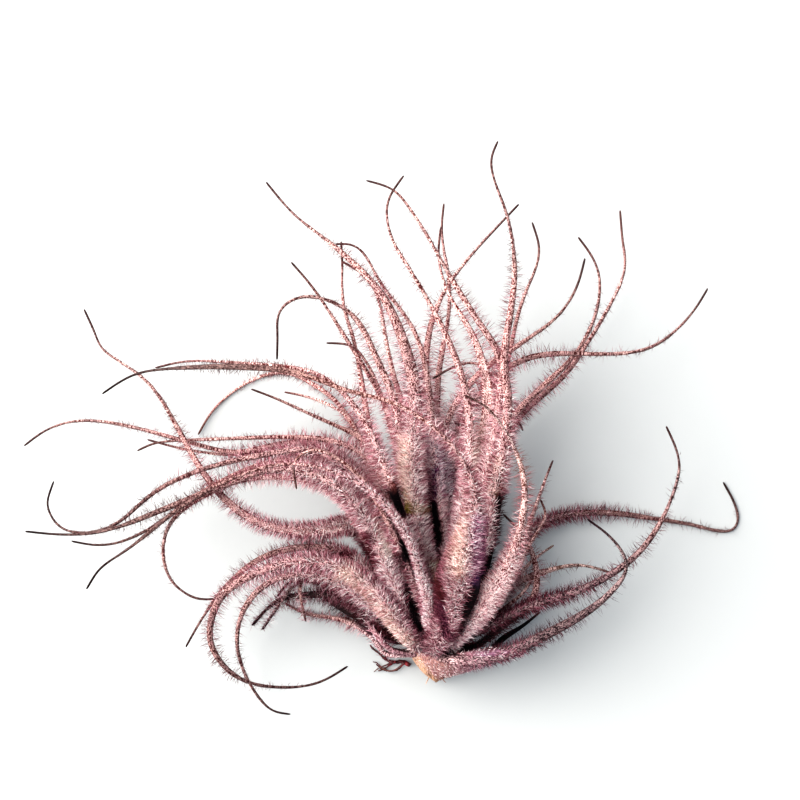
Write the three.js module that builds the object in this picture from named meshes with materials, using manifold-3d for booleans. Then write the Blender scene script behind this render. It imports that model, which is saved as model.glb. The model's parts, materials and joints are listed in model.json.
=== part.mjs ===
// An air plant that lies on its side: a short stem, a bundle of dry roots and the narrow leaves
// that fan out of the stem and curl at their tips. Millimetres, +Z up.
// The origin is the flat spot under the stem foot. The plant's top points along +Y.
// Each leaf's route is read from a picture taken straight from above, as [column, row] pixels
// from the tip down to the last point that shows. Heights and widths are in millimetres.
import * as THREE from "three";
import { mergeVertices } from "three/addons/utils/BufferGeometryUtils.js";
import Module from "manifold-3d";

// The picture: its middle, the pixel of the origin, and its scale on the table.
const pictureMiddle = 400;
const originPixel = [436, 650];
const plantWidth = 122;
const plantWidthPixels = 717;
const cameraHeight = 600;
const mmPerPixel = plantWidth / plantWidthPixels;

// The stem: a tapered stub, thick with old leaf bases, that starts at its foot and leans up.
const stemFoot = new THREE.Vector3(0, -4.4, 1.5);
const stemTilt = THREE.MathUtils.degToRad(22);
const stemAxis = new THREE.Vector3(0, Math.cos(stemTilt), Math.sin(stemTilt));
const stemLength = 18.5;
const stemProfile = [
  [0, 0],
  [1.3, 0],
  [3, 2.2],
  [3.8, 4.6],
  [3.8, 7],
  [3.4, 11],
  [2.5, 15],
  [1.2, 18],
  [0, stemLength],
];
const stemSides = 16;

// Where the leaves leave the stem: the wider a leaf leans out, the nearer its spot is to the foot.
const outermostSpot = 4.6;
const innermostSpot = 17.2;
const widestLean = THREE.MathUtils.degToRad(95);
const narrowestLean = THREE.MathUtils.degToRad(18);
const lowestClimb = THREE.MathUtils.degToRad(-8);
const highestClimb = THREE.MathUtils.degToRad(84);
const climbGrowth = 1.4;
const rosetteMiddle = new THREE.Vector3(0, 5.3, 0);
const rosetteRadius = 14;
const spotSpacing = 2.1;
const spotRounds = 400;
const lowestSpot = 1;
const turnFromTable = 0.05;
const smallestPush = 0.01;
const rootGap = 0.4;
const straightStart = 5;
const twistEnd = 15;

// A leaf's section, and how its blade is divided.
const thinnestBlade = 0.62;
const thickestBlade = 0.95;
const thicknessPerWidth = 0.06;
const channelPerWidth = 0.09;
const baseWidth = 0.7;
const baseWidening = 0.3;
const sampleSpacing = 1;
const ringEvery = 4.2;
const turnWeight = 5.5;

// What keeps the leaves clear of each other, of the stem and of the table.
const leafGap = 0.4;
const layeringRounds = 200;
const clearingRounds = 160;
const pushReach = 7;
const stiffness = 0.3;
const orderLift = 0.3;
const clearingStep = 0.7;
const rootClear = 2;
const rosetteReach = 10;
const mostSteep = 1.5;
const tableSink = 0.06;

// The leaves, from the lowest to the highest: where two cross, the later one passes above.
// Each has its traced route, its heights at the tip, at a third and at two thirds of the way
// to the stem, and its widths at even steps from the tip to the root.
const leaves = [
  {
    trace: [[723, 482], [738, 510], [738, 527], [721, 532], [701, 526], [656, 518.5], [607, 512.5],
      [573, 513.5], [543, 522], [518, 543], [490, 588], [474, 615]],
    heights: [0.2, 0.2, 2],
    widths: [0.3, 0.6, 0.9, 1.2, 1.6],
  },
  {
    trace: [[198, 435], [210, 413], [232, 391], [258, 377], [284, 371], [310, 382], [343, 408]],
    heights: [0.6, 0.1, 3],
    widths: [0.3, 0.5, 0.8, 1, 1.2],
  },
  {
    trace: [[284, 392], [304, 395], [326, 403], [346, 414]],
    heights: [4, 4, 4],
    widths: [0.3, 0.5, 0.8, 1, 1.2],
  },
  {
    trace: [[523, 431], [519, 418], [510, 405], [498, 408], [486, 430]],
    heights: [7, 6, 6],
    widths: [0.3, 0.5, 0.8, 1, 1.2],
  },
  {
    trace: [[554, 545], [539, 553], [525, 568]],
    heights: [2, 2, 4],
    widths: [0.3, 0.5, 0.8, 1],
  },
  {
    trace: [[540, 612], [522, 627], [500, 639], [472, 649]],
    heights: [3, 4, 5],
    widths: [0.4, 0.8, 1.3, 1.6],
  },
  {
    trace: [[283, 602], [300, 613], [323, 616], [350, 621], [383, 644], [400, 655]],
    heights: [1, 1, 3],
    widths: [0.4, 0.7, 1.3, 1.8],
  },
  {
    trace: [[251, 389], [271, 396], [306, 412], [344, 429], [364, 440]],
    heights: [6, 4, 5],
    widths: [0.3, 0.6, 1, 1.6, 2.4],
  },
  {
    trace: [[326, 343], [346, 342], [364, 358], [380, 392]],
    heights: [8, 7, 7],
    widths: [0.3, 0.5, 0.8, 1.2],
  },
  {
    trace: [[318, 575], [320, 591], [339, 606], [366, 620], [396, 643], [409, 655]],
    heights: [2, 3, 5],
    widths: [0.6, 1.3, 2, 1.4],
  },
  {
    trace: [[532, 222], [540, 245], [536, 269], [524, 294], [516, 320], [510, 350]],
    heights: [16, 13, 11],
    widths: [0.3, 0.5, 0.7, 0.9, 1.1],
  },
  {
    trace: [[444, 203], [441, 232], [450, 283], [449, 318], [438, 374], [437, 425]],
    heights: [16, 14, 12],
    widths: [0.3, 0.5, 0.8, 1.1, 1.6, 2.4],
  },
  {
    trace: [[519, 204], [498, 226], [464, 263], [438, 302], [426, 352], [428, 425]],
    heights: [20, 16, 12],
    widths: [0.3, 0.6, 0.9, 1.2, 1.6, 2.4],
  },
  {
    trace: [[432, 379], [453, 366], [471, 362], [490, 372], [496, 405]],
    heights: [14, 13, 12],
    widths: [0.3, 0.4, 0.7, 1, 1.4],
  },
  {
    trace: [[147, 439.5], [182, 449], [226, 455], [276, 453], [314, 455], [340, 470]],
    heights: [7, 9, 9],
    widths: [0.3, 0.5, 0.8, 1.3, 2, 2.6],
  },
  {
    trace: [[24, 446], [43, 431], [68, 422], [96, 420.5], [142, 429.5], [194, 444], [236, 453.5],
      [284, 443], [318, 445], [364, 480]],
    heights: [3, 9, 10],
    widths: [0.3, 0.5, 0.7, 1, 1.7, 2.6],
  },
  {
    trace: [[137, 451], [147, 444], [188, 440], [240, 438], [294, 436.5], [342, 443], [368, 458]],
    heights: [10, 12, 11],
    widths: [0.4, 0.6, 0.7, 0.9, 1.7, 2.6],
  },
  {
    trace: [[84, 309], [92, 323], [100, 347], [129, 367], [148, 381], [170, 413], [193, 457], [224, 499],
      [260, 524], [294, 531], [328, 529.5], [354, 523], [378, 552]],
    heights: [9, 13, 15],
    widths: [0.3, 0.6, 0.9, 1.4, 2, 2.8],
  },
  {
    trace: [[620, 210], [622, 240], [626, 268], [612, 302], [593, 335], [565, 375], [524, 411], [508, 432]],
    heights: [12, 11, 11],
    widths: [0.2, 0.5, 0.8, 1, 1.5, 2.2],
  },
  {
    trace: [[578, 237], [597, 264], [599, 301], [586, 338], [562, 369], [531, 397], [500, 435]],
    heights: [17, 15, 13],
    widths: [0.3, 0.6, 0.8, 1.1, 1.5, 2.2],
  },
  {
    trace: [[708, 288], [695, 310], [664, 341], [636, 352.5], [588, 354.5], [544, 354], [511, 365],
      [474, 402], [457, 433]],
    heights: [12, 18, 15],
    widths: [0.3, 0.6, 0.8, 1, 1.5, 2.4],
  },
  {
    trace: [[585, 258], [579, 283], [560, 315], [525, 341], [480, 372], [454, 406], [443, 435]],
    heights: [24, 20, 16],
    widths: [0.3, 0.6, 0.9, 1.1, 1.5, 2.4],
  },
  {
    trace: [[341, 241], [343, 268], [342, 300], [356, 346], [361, 378], [372, 442]],
    heights: [24, 20, 16],
    widths: [0.3, 0.5, 0.8, 1.1, 1.7, 2.6],
  },
  {
    trace: [[291, 262], [313, 287], [346, 338], [377, 388], [392, 420]],
    heights: [22, 20, 16],
    widths: [0.3, 0.5, 0.8, 1.3, 2.2],
  },
  {
    trace: [[341, 261], [358, 269], [376, 290], [382, 318], [392, 372], [404, 410]],
    heights: [28, 23, 17],
    widths: [0.3, 0.6, 0.9, 1.4, 2.4],
  },
  {
    trace: [[334, 244], [351, 242], [365, 254], [382, 286], [407, 317], [421, 345], [430, 400]],
    heights: [28, 25, 18],
    widths: [0.3, 0.5, 0.8, 1.1, 1.7, 2.6],
  },
  {
    trace: [[252, 626], [275, 601], [312, 595], [343, 595], [382, 624], [396, 638]],
    heights: [6, 8, 9],
    widths: [0.5, 1, 1.4, 1.7],
  },
  {
    trace: [[262, 630], [277, 608], [297, 582], [318, 574], [360, 592]],
    heights: [7, 9, 10],
    widths: [0.4, 0.7, 0.9, 1.3],
  },
  {
    trace: [[278, 563], [292, 554.5], [300, 569], [314, 582], [352, 600]],
    heights: [11, 11, 11],
    widths: [0.3, 0.5, 0.8, 1.2],
  },
  {
    trace: [[306, 622], [300, 599], [300, 578], [316, 566], [350, 578]],
    heights: [10, 11, 12],
    widths: [0.3, 0.5, 0.8, 1.2],
  },
  {
    trace: [[277, 597], [284, 584], [302, 580], [334, 588], [366, 606]],
    heights: [13, 12, 12],
    widths: [0.4, 0.8, 1.2, 1.5],
  },
  {
    trace: [[291, 714], [275, 713], [253, 689], [237, 646], [246, 604], [270, 581], [308, 573], [344, 585],
      [397, 632]],
    heights: [2, 7, 11],
    widths: [0.4, 0.6, 0.9, 1.3, 2.2],
  },
  {
    trace: [[185, 648], [205, 613], [228, 583], [261, 558], [303, 547], [350, 555], [389, 588], [400, 608]],
    heights: [5, 12, 14],
    widths: [0.3, 0.7, 1, 1.5, 2.1],
  },
  {
    trace: [[224, 597], [197, 598.5], [171, 580], [162.5, 546], [174, 517], [207, 494], [250, 478],
      [330, 488]],
    heights: [6, 14, 16],
    widths: [0.3, 0.5, 0.8, 1.1, 1.6],
  },
  {
    trace: [[71, 541], [91, 545.5], [116, 543.5], [151, 528], [183, 505], [225, 480], [284, 461],
      [339, 479], [366, 511]],
    heights: [8, 18, 18],
    widths: [0.3, 0.6, 0.9, 1.5, 2.4, 3],
  },
  {
    trace: [[614, 574], [582, 564.5], [544, 572], [519, 581], [492, 608]],
    heights: [10, 10, 11],
    widths: [0.3, 0.8, 1.1, 1.4],
  },
  {
    trace: [[536, 574], [525, 592], [504, 609], [484, 628]],
    heights: [12, 12, 12],
    widths: [0.4, 0.6, 0.9, 1.2],
  },
  {
    trace: [[503, 514], [520, 530], [537, 568], [534, 598], [506, 622]],
    heights: [16, 13, 12],
    widths: [0.5, 0.9, 1.2, 1.5],
  },
  {
    trace: [[553, 460], [545, 480], [534, 513], [522, 540], [504, 580]],
    heights: [22, 17, 14],
    widths: [0.3, 0.5, 0.9, 1.3],
  },
  {
    trace: [[540, 499], [547, 507], [543, 524], [530, 543], [508, 588]],
    heights: [19, 16, 14],
    widths: [0.3, 0.5, 0.9, 1.3],
  },
  {
    trace: [[277, 360], [278, 335], [277, 313], [297, 297], [331, 300], [358, 320], [374, 353],
      [393, 396], [400, 430]],
    heights: [26, 28, 22],
    widths: [0.3, 0.6, 0.9, 1.3, 2.3, 2.8],
  },
  {
    trace: [[266, 182], [293, 214], [340, 251], [383, 296], [408, 356], [415, 398], [411, 455], [419, 540],
      [434, 605]],
    heights: [20, 32, 25],
    widths: [0.3, 0.6, 1.1, 1.9, 2.9, 3.2, 2.2],
  },
  {
    trace: [[441, 226], [438, 254], [448, 294], [472, 332], [488, 385], [487, 430], [478, 480]],
    heights: [38, 35, 25],
    widths: [0.3, 0.6, 1.2, 2.4, 3.6, 4.2, 3.4],
  },
  {
    trace: [[404, 175], [388, 198], [390, 235], [419, 283], [447, 337], [464, 383], [470, 445]],
    heights: [30, 34, 26],
    widths: [0.3, 0.5, 0.9, 1.3, 1.8, 2.8],
  },
  {
    trace: [[366, 181], [391, 188], [418, 221], [446, 270], [477, 320], [501, 358], [500, 400], [492, 450]],
    heights: [28, 38, 28],
    widths: [0.3, 0.6, 1, 1.4, 2.2, 3],
  },
  {
    trace: [[498, 141], [490, 155], [494, 181], [507, 214], [515, 268], [509, 322], [503, 360], [508, 400],
      [496, 485], [474, 585]],
    heights: [42, 38, 28],
    widths: [0.3, 0.6, 1, 1.4, 2, 2.4, 3],
  },
  {
    trace: [[155, 368], [185, 361], [235, 363], [285, 367], [318, 374], [354, 405], [374, 440]],
    heights: [18, 30, 30],
    widths: [0.3, 0.6, 0.7, 1.1, 1.9, 2.8],
  },
  {
    trace: [[53, 481], [45, 498], [55, 525], [84, 534], [117, 523.5], [155, 490.5], [206, 467.5],
      [266, 454.5], [312, 449], [354, 476], [376, 508]],
    heights: [9, 22, 24],
    widths: [0.3, 0.6, 0.8, 1.2, 2.2],
  },
  {
    trace: [[26, 531], [64, 534.5], [106, 531], [158, 511.5], [222, 486], [272, 468], [326, 479],
      [360, 511], [388, 570], [398, 596]],
    heights: [8, 24, 26],
    widths: [0.3, 0.7, 1, 1.4, 2.2, 3],
  },
  {
    trace: [[348, 666], [322, 682], [285, 688], [237, 678], [210, 643], [220, 597], [264, 569],
      [310, 560.5], [362, 578], [401, 622], [412, 640]],
    heights: [7, 17, 20],
    widths: [0.3, 0.6, 1, 1.5, 2.4, 3.2],
  },
  {
    trace: [[666, 426], [680, 460], [671, 501], [640, 552], [586, 588], [532, 605], [480, 632]],
    heights: [13, 20, 18],
    widths: [0.3, 0.7, 1, 1.5, 2],
  },
  {
    trace: [[587, 519], [609, 535], [628, 565], [603, 600], [547, 634], [490, 658], [450, 667]],
    heights: [24, 20, 14],
    widths: [0.3, 0.7, 1.4, 2, 2.7],
  },
  {
    trace: [[296, 490], [292, 464], [310, 449], [336, 457], [366, 484], [392, 530]],
    heights: [34, 34, 30],
    widths: [0.3, 0.6, 1.1, 1.5, 2],
  },
  {
    trace: [[87, 589], [97, 571], [133, 546], [173, 513], [220, 484], [286, 463], [356, 480],
      [399, 520], [423, 580], [431, 645]],
    heights: [9, 25, 29],
    widths: [0.3, 0.8, 0.8, 0.8, 1.4, 2.6, 4.6],
  },
  {
    trace: [[464, 395], [480, 401], [503, 427], [521, 464], [525, 497], [509, 564], [478, 613],
      [454, 641]],
    heights: [46, 36, 24],
    widths: [0.3, 0.6, 1.2, 1.9, 3, 4.2, 3.8],
  },
  {
    trace: [[102, 394], [133, 374.5], [180, 368], [240, 367], [296, 372], [344, 390], [392, 402],
      [434, 427], [465, 463], [476, 505], [463, 562], [453, 610]],
    heights: [22, 42, 40],
    widths: [0.3, 0.7, 0.9, 1, 0.9, 1.1, 3.4, 7, 4],
  },
];

const up = new THREE.Vector3(0, 0, 1);
const across = new THREE.Vector3(1, 0, 0);
const stemUp = new THREE.Vector3().crossVectors(across, stemAxis);

// A pixel of the picture at a height above the table, as a point of the part.
function fromPicture([column, row], height) {
  const middle = new THREE.Vector2(pictureMiddle - originPixel[0], originPixel[1] - pictureMiddle);
  const scale = mmPerPixel * (1 - height / cameraHeight);
  return new THREE.Vector3(
    middle.x * mmPerPixel + (column - pictureMiddle) * scale,
    middle.y * mmPerPixel - (row - pictureMiddle) * scale,
    height,
  );
}

// A value at a fraction of the way along a list of evenly spaced ones.
function alongList(list, fraction) {
  const place = THREE.MathUtils.clamp(fraction, 0, 1) * (list.length - 1);
  const step = Math.min(Math.floor(place), list.length - 2);
  return THREE.MathUtils.lerp(list[step], list[step + 1], place - step);
}

function stemRadius(distance) {
  const step = Math.max(1, stemProfile.findIndex(([, end]) => end >= distance));
  const [startRadius, start] = stemProfile[step - 1];
  const [endRadius, end] = stemProfile[step];
  return THREE.MathUtils.mapLinear(distance, start, end, startRadius, endRadius);
}

// The way out of the stem at an angle round it: 0 is to the right, a quarter turn is up.
function outOfStem(angle) {
  return across.clone().multiplyScalar(Math.cos(angle)).addScaledVector(stemUp, Math.sin(angle));
}

function spotOnStem(distance, angle) {
  const out = outOfStem(angle);
  const place = stemFoot.clone().addScaledVector(stemAxis, distance);
  place.addScaledVector(out, stemRadius(distance) + rootGap);
  return { distance, angle, place, out };
}

// The direction in which a leaf sets out: its heading from above, and a climb that grows with
// its place in the list, because the leaves that pass above the others start nearer the top.
function leafStart(leaf, order) {
  const points = leaf.trace.map((pixel) => fromPicture(pixel, 0).sub(rosetteMiddle));
  const ahead = points.findLast((point) => point.length() > rosetteRadius) ?? points[0];
  const heading = ahead.normalize();
  const share = (order / (leaves.length - 1)) ** climbGrowth;
  const climb = THREE.MathUtils.lerp(lowestClimb, highestClimb, share);
  return heading.multiplyScalar(Math.cos(climb)).addScaledVector(up, Math.sin(climb));
}

// Gives each leaf its spot on the stem, and then moves the spots apart until all have room.
function chooseSpots() {
  const spots = leaves.map((leaf, order) => {
    const start = leafStart(leaf, order);
    const lean = start.angleTo(stemAxis);
    const angle = Math.atan2(start.dot(stemUp), start.x);
    const distance = THREE.MathUtils.mapLinear(
      lean, narrowestLean, widestLean, innermostSpot, outermostSpot,
    );
    return { start, angle, distance };
  });
  for (let round = 0; round < spotRounds; round++) {
    spots.forEach((spot) => {
      spot.distance = THREE.MathUtils.clamp(spot.distance, outermostSpot, innermostSpot);
      spot.place = spotOnStem(spot.distance, spot.angle).place;
      const awayFromTable = Math.cos(spot.angle) > 0 ? turnFromTable : -turnFromTable;
      if (spot.place.z < lowestSpot) spot.angle += awayFromTable;
    });
    spots.forEach((spot, index) => {
      for (const other of spots.slice(index + 1)) {
        const apart = other.place.clone().sub(spot.place);
        const missing = spotSpacing - apart.length();
        if (missing <= 0) continue;
        const push = missing / 2 / Math.max(apart.length(), smallestPush);
        const radius = stemRadius(spot.distance) + rootGap;
        const around = new THREE.Vector3().crossVectors(stemAxis, outOfStem(spot.angle)).negate();
        const turn = (push * apart.dot(around)) / radius || smallestPush;
        const slide = push * apart.dot(stemAxis) || smallestPush;
        spot.angle -= turn;
        other.angle += turn;
        spot.distance -= slide;
        other.distance += slide;
      }
    });
  }
  spots.forEach((spot, index) => {
    const distance = THREE.MathUtils.clamp(spot.distance, outermostSpot, innermostSpot);
    leaves[index].spot = { ...spotOnStem(distance, spot.angle), start: spot.start };
  });
}

// A leaf's centreline as evenly spaced points from the tip to the root.
function leafRoute(leaf) {
  const { place, start } = leaf.spot;
  const bend = place.clone().addScaledVector(start, straightStart);
  const trace = leaf.trace.filter((pixel, index) => index < 2 || !isAtStem(fromPicture(pixel, 0), place));
  const plan = [...trace.map((pixel) => fromPicture(pixel, 0)), bend];
  const steps = [0];
  plan.slice(1).forEach((point, index) => {
    steps.push(steps[index] + Math.hypot(point.x - plan[index].x, point.y - plan[index].y));
  });
  const heights = new THREE.SplineCurve(
    [...leaf.heights, bend.z].map((height, index) => new THREE.Vector2(index, height)),
  );
  const points = trace.map((pixel, index) => {
    const height = heights.getPoint(steps[index] / steps.at(-1)).y;
    return fromPicture(pixel, Math.max(height, 0));
  });
  points.push(bend, place);
  const curve = new THREE.CatmullRomCurve3(points, false, "centripetal");
  return curve.getSpacedPoints(Math.round(curve.getLength() / sampleSpacing));
}

// Whether a traced point is so near the stem that the leaf's own start takes its place.
function isAtStem(point, root) {
  const besideStem = 9;
  const aboveRoot = 6;
  return Math.abs(point.x) < besideStem && point.y < root.y + aboveRoot;
}

// The leaf's samples: where its middle runs, how wide and how thick its blade is there.
function leafSamples(leaf) {
  const route = leafRoute(leaf);
  const last = route.length - 1;
  return route.map((point, index) => {
    const fromRoot = (last - index) * sampleSpacing;
    const seen = alongList(leaf.widths, index / last);
    const width = Math.max(thinnestBlade, Math.min(seen, baseWidth + baseWidening * fromRoot));
    const thickness = Math.min(thinnestBlade + thicknessPerWidth * width, thickestBlade);
    const channel = channelPerWidth * width;
    return { point, width, thickness, channel, fromRoot, drawnHeight: point.z, lift: 0 };
  });
}

// How steeply a leaf climbs at a sample, as the factor between its own and its upright thickness.
function steepness(samples, index) {
  const before = samples[Math.max(index - 2, 0)].point;
  const after = samples[Math.min(index + 2, samples.length - 1)].point;
  const run = Math.hypot(after.x - before.x, after.y - before.y);
  return Math.min(Math.hypot(1, (after.z - before.z) / Math.max(run, 0.1)), mostSteep);
}

// Pairs of samples, out beyond the rosette, that lie above each other: the lower leaf's first.
function crossingPairs(blades) {
  const pairs = [];
  const outer = blades.map((samples) => samples.filter(({ fromRoot }) => fromRoot > rosetteReach));
  outer.forEach((lower, leaf) => {
    for (const higher of outer.slice(leaf + 1)) {
      for (const under of lower) {
        for (const over of higher) {
          const apart = Math.hypot(under.point.x - over.point.x, under.point.y - over.point.y);
          if (apart < (under.width + over.width) / 2 + leafGap) pairs.push([under, over]);
        }
      }
    }
  });
  return pairs;
}

// Raises and lowers the outer leaves until each passes above the ones before it in the list.
function layerLeaves(blades) {
  const pairs = crossingPairs(blades);
  for (let round = 0; round < layeringRounds; round++) {
    for (const samples of blades) {
      samples.forEach((sample, index) => {
        sample.steep = steepness(samples, index);
        sample.rise = 0;
        sample.fall = 0;
      });
    }
    for (const [under, over] of pairs) {
      const upright = Math.max(under.steep, over.steep);
      const needed = ((under.thickness + over.thickness) / 2 + leafGap) * upright + under.channel;
      const missing = needed - (over.point.z - under.point.z);
      if (missing <= 0) continue;
      over.rise = Math.max(over.rise, missing / 2);
      under.fall = Math.max(under.fall, missing / 2);
    }
    for (const samples of blades) {
      const lifts = samples.map(({ rise, fall, lift }) => lift + rise - fall);
      const eased = easeAlong(lifts, pushReach);
      samples.forEach((sample, index) => {
        const free = Math.min(sample.fromRoot / rosetteReach, 1);
        sample.lift = THREE.MathUtils.lerp(lifts[index], eased[index], stiffness) * free;
        sample.point.z = sample.drawnHeight + sample.lift;
      });
      keepAboveTable(samples);
    }
  }
}

function keepAboveTable(samples) {
  for (const { point, thickness, fromRoot } of samples) {
    if (fromRoot > 0) point.z = Math.max(point.z, thickness / 2 - tableSink);
  }
}

// The direction across the blade: round the stem at its root, and level further out.
function acrossBlade(rings, index, out) {
  const before = rings[Math.max(index - 1, 0)].point;
  const after = rings[Math.min(index + 1, rings.length - 1)].point;
  const ahead = before.clone().sub(after).normalize();
  const level = new THREE.Vector3(-ahead.y, ahead.x, 0).normalize();
  const round = new THREE.Vector3().crossVectors(stemAxis, out);
  if (round.dot(level) < 0) round.negate();
  const twist = THREE.MathUtils.smoothstep(rings[index].fromRoot, straightStart, twistEnd);
  const aside = round.lerp(level, twist);
  return aside.addScaledVector(ahead, -aside.dot(ahead)).normalize();
}

// Balls that fill a blade from edge to edge, each held by the rings before and after it.
function bladeBalls(rings, leaf) {
  const asides = rings.map((_, index) => acrossBlade(rings, index, leaves[leaf].spot.out));
  return rings.slice(1).flatMap((after, index) => {
    const before = rings[index];
    const steps = Math.max(1, Math.round(before.point.distanceTo(after.point) / sampleSpacing));
    return Array.from({ length: steps }, (_, step) => {
      const share = (step + 0.5) / steps;
      const point = before.point.clone().lerp(after.point, share);
      const aside = asides[index].clone().lerp(asides[index + 1], share);
      const width = THREE.MathUtils.lerp(before.width, after.width, share);
      const thickness = THREE.MathUtils.lerp(before.thickness, after.thickness, share);
      const radius = thickness / 2 + leafGap / 2;
      const spread = Math.max(width / 2 - radius + leafGap / 2, 0);
      const count = Math.ceil(spread / radius) * 2 + 1;
      return Array.from({ length: count }, (_, ball) => {
        const offset = count > 1 ? spread * ((2 * ball) / (count - 1) - 1) : 0;
        return { middle: point.clone().addScaledVector(aside, offset), radius, before, after, share, leaf };
      });
    }).flat();
  });
}

function pushBall({ before, after, share }, move, sign) {
  before.push.addScaledVector(move, sign * (1 - share));
  before.pushes += 1 - share;
  after.push.addScaledVector(move, sign * share);
  after.pushes += share;
}

// Bends the leaves apart wherever two come nearer than their gap, and away from the stem.
function clearLeaves(blades) {
  for (let round = 0; round < clearingRounds; round++) {
    const balls = blades.flatMap((rings, leaf) => bladeBalls(rings, leaf));
    blades.flat().forEach((ring) => {
      ring.push = new THREE.Vector3();
      ring.pushes = 0;
    });
    for (const [first, second] of closeBalls(balls)) {
      const apart = second.middle.clone().sub(first.middle);
      const missing = first.radius + second.radius - apart.length();
      if (missing <= 0) continue;
      apart.z += Math.sign(second.leaf - first.leaf) * orderLift;
      const move = apart.setLength(missing * clearingStep);
      pushBall(first, move, -1);
      pushBall(second, move, 1);
    }
    for (const ball of balls) {
      const fromStem = awayFromStem(ball.middle, ball.radius + leafGap / 2);
      if (fromStem && ball.before.fromRoot > rootClear) pushBall(ball, fromStem, 1);
    }
    const reach = round < clearingRounds / 2 ? 1 : 0;
    for (const rings of blades) {
      const mean = (axis) => rings.map(({ push, pushes }) => push[axis] / Math.max(pushes, 0.5));
      const [movesX, movesY, movesZ] = ["x", "y", "z"].map((axis) => easeAlong(mean(axis), reach));
      rings.forEach(({ point, fromRoot }, index) => {
        const free = Math.min(fromRoot / rootClear, 1);
        point.addScaledVector(new THREE.Vector3(movesX[index], movesY[index], movesZ[index]), free);
      });
      keepAboveTable(rings);
    }
  }
}

function closeBalls(balls) {
  const cell = 1.6;
  const cells = new Map();
  const pairs = [];
  const key = (x, y, z) => (x * 4096 + y) * 4096 + z;
  balls.forEach((ball) => {
    const [x, y, z] = ball.middle.toArray().map((value) => Math.floor(value / cell) + 512);
    for (let near = 0; near < 27; near++) {
      const other = key(x + (near % 3) - 1, y + (Math.floor(near / 3) % 3) - 1, z + Math.floor(near / 9) - 1);
      for (const held of cells.get(other) ?? []) {
        if (held.leaf !== ball.leaf) pairs.push([held, ball]);
      }
    }
    const own = key(x, y, z);
    if (!cells.has(own)) cells.set(own, []);
    cells.get(own).push(ball);
  });
  return pairs;
}

// The way out of the stem for a ball that comes too near it, or null.
function awayFromStem(middle, clearance) {
  const fromFoot = middle.clone().sub(stemFoot);
  const distance = THREE.MathUtils.clamp(fromFoot.dot(stemAxis), 0, stemLength);
  const aside = fromFoot.addScaledVector(stemAxis, -distance);
  const missing = stemRadius(distance) + clearance - aside.length();
  return missing > 0 ? aside.setLength(missing) : null;
}

// Spreads a push along a leaf, so that the leaf bends softly and does not kink.
function easeAlong(values, reach) {
  return values.map((_, index) => {
    let sum = 0;
    let weights = 0;
    for (let step = -reach; step <= reach; step++) {
      const value = values[THREE.MathUtils.clamp(index + step, 0, values.length - 1)];
      const weight = 1 + Math.cos((Math.PI * step) / (reach + 1));
      sum += value * weight;
      weights += weight;
    }
    return sum / weights;
  });
}

// Picks the samples that become rings of the mesh: closer together where the leaf curls.
function chooseRings(samples) {
  const marks = [0];
  for (let index = 1; index < samples.length; index++) {
    const here = samples[index].point;
    const step = here.distanceTo(samples[index - 1].point);
    let turn = 0;
    if (index > 1) {
      const back = samples[index - 1].point.clone().sub(samples[index - 2].point);
      turn = back.angleTo(here.clone().sub(samples[index - 1].point));
    }
    marks.push(marks.at(-1) + step + turnWeight * turn);
  }
  const count = Math.max(4, Math.round(marks.at(-1) / ringEvery));
  const chosen = new Set();
  for (let ring = 0; ring <= count; ring++) {
    const mark = (marks.at(-1) * ring) / count;
    chosen.add(marks.findIndex((value) => value >= mark - 1e-9));
  }
  return [...chosen].sort((a, b) => a - b).map((index) => samples[index]);
}

// The blade: rings of six corners, a channel along its upper face, and a point at each end.
// Each corner of the section is a share of the width aside, and then a height above the middle.
function bladeGeometry(rings, leaf) {
  const origin = rings.at(-1).point;
  const corners = [];
  const triangles = [];
  rings.slice(1, -1).forEach(({ point, width, thickness, channel }, inner) => {
    const side = acrossBlade(rings, inner + 1, leaves[leaf].spot.out);
    const ahead = rings[inner + 2].point.clone().sub(rings[inner].point);
    const face = new THREE.Vector3().crossVectors(side, ahead).normalize();
    const section = [
      [-0.5 * width, channel],
      [-0.22 * width, thickness / 2],
      [0.22 * width, thickness / 2],
      [0.5 * width, channel],
      [0.22 * width, -thickness / 2],
      [-0.22 * width, -thickness / 2],
    ];
    for (const [aside, above] of section) {
      corners.push(point.clone().addScaledVector(side, aside).addScaledVector(face, above));
    }
  });
  const perRing = 6;
  const ringTotal = rings.length - 2;
  const tip = corners.push(rings[0].point.clone()) - 1;
  const root = corners.push(origin.clone()) - 1;
  for (let ring = 0; ring < ringTotal; ring++) {
    for (let corner = 0; corner < perRing; corner++) {
      const here = ring * perRing + corner;
      const next = ring * perRing + ((corner + 1) % perRing);
      if (ring === 0) triangles.push([tip, next, here]);
      if (ring < ringTotal - 1) {
        triangles.push([here, next, here + perRing], [next, next + perRing, here + perRing]);
      } else {
        triangles.push([here, next, root]);
      }
    }
  }
  corners.forEach((corner) => {
    corner.z = Math.max(corner.z, 0);
    corner.sub(origin);
  });
  const geometry = new THREE.BufferGeometry().setFromPoints(corners);
  geometry.setIndex(triangles.flat());
  return geometry;
}

function material(color, roughness) {
  return new THREE.MeshStandardMaterial({ color, roughness, metalness: 0, flatShading: true });
}

const leafMaterial = material(0xb08a94, 0.85);
const stemMaterial = material(0x8a5a3c, 0.9);
const rootMaterial = material(0x6a1c26, 0.8);

function makeLeaves() {
  chooseSpots();
  const samples = leaves.map((leaf) => leafSamples(leaf));
  layerLeaves(samples);
  const blades = samples.map((list) => chooseRings(list));
  clearLeaves(blades);
  return blades.map((rings, index) => {
    const leaf = new THREE.Mesh(bladeGeometry(rings, index), leafMaterial);
    leaf.name = "leaf_" + String(index + 1).padStart(2, "0");
    leaf.position.copy(rings.at(-1).point);
    return leaf;
  });
}

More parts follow.
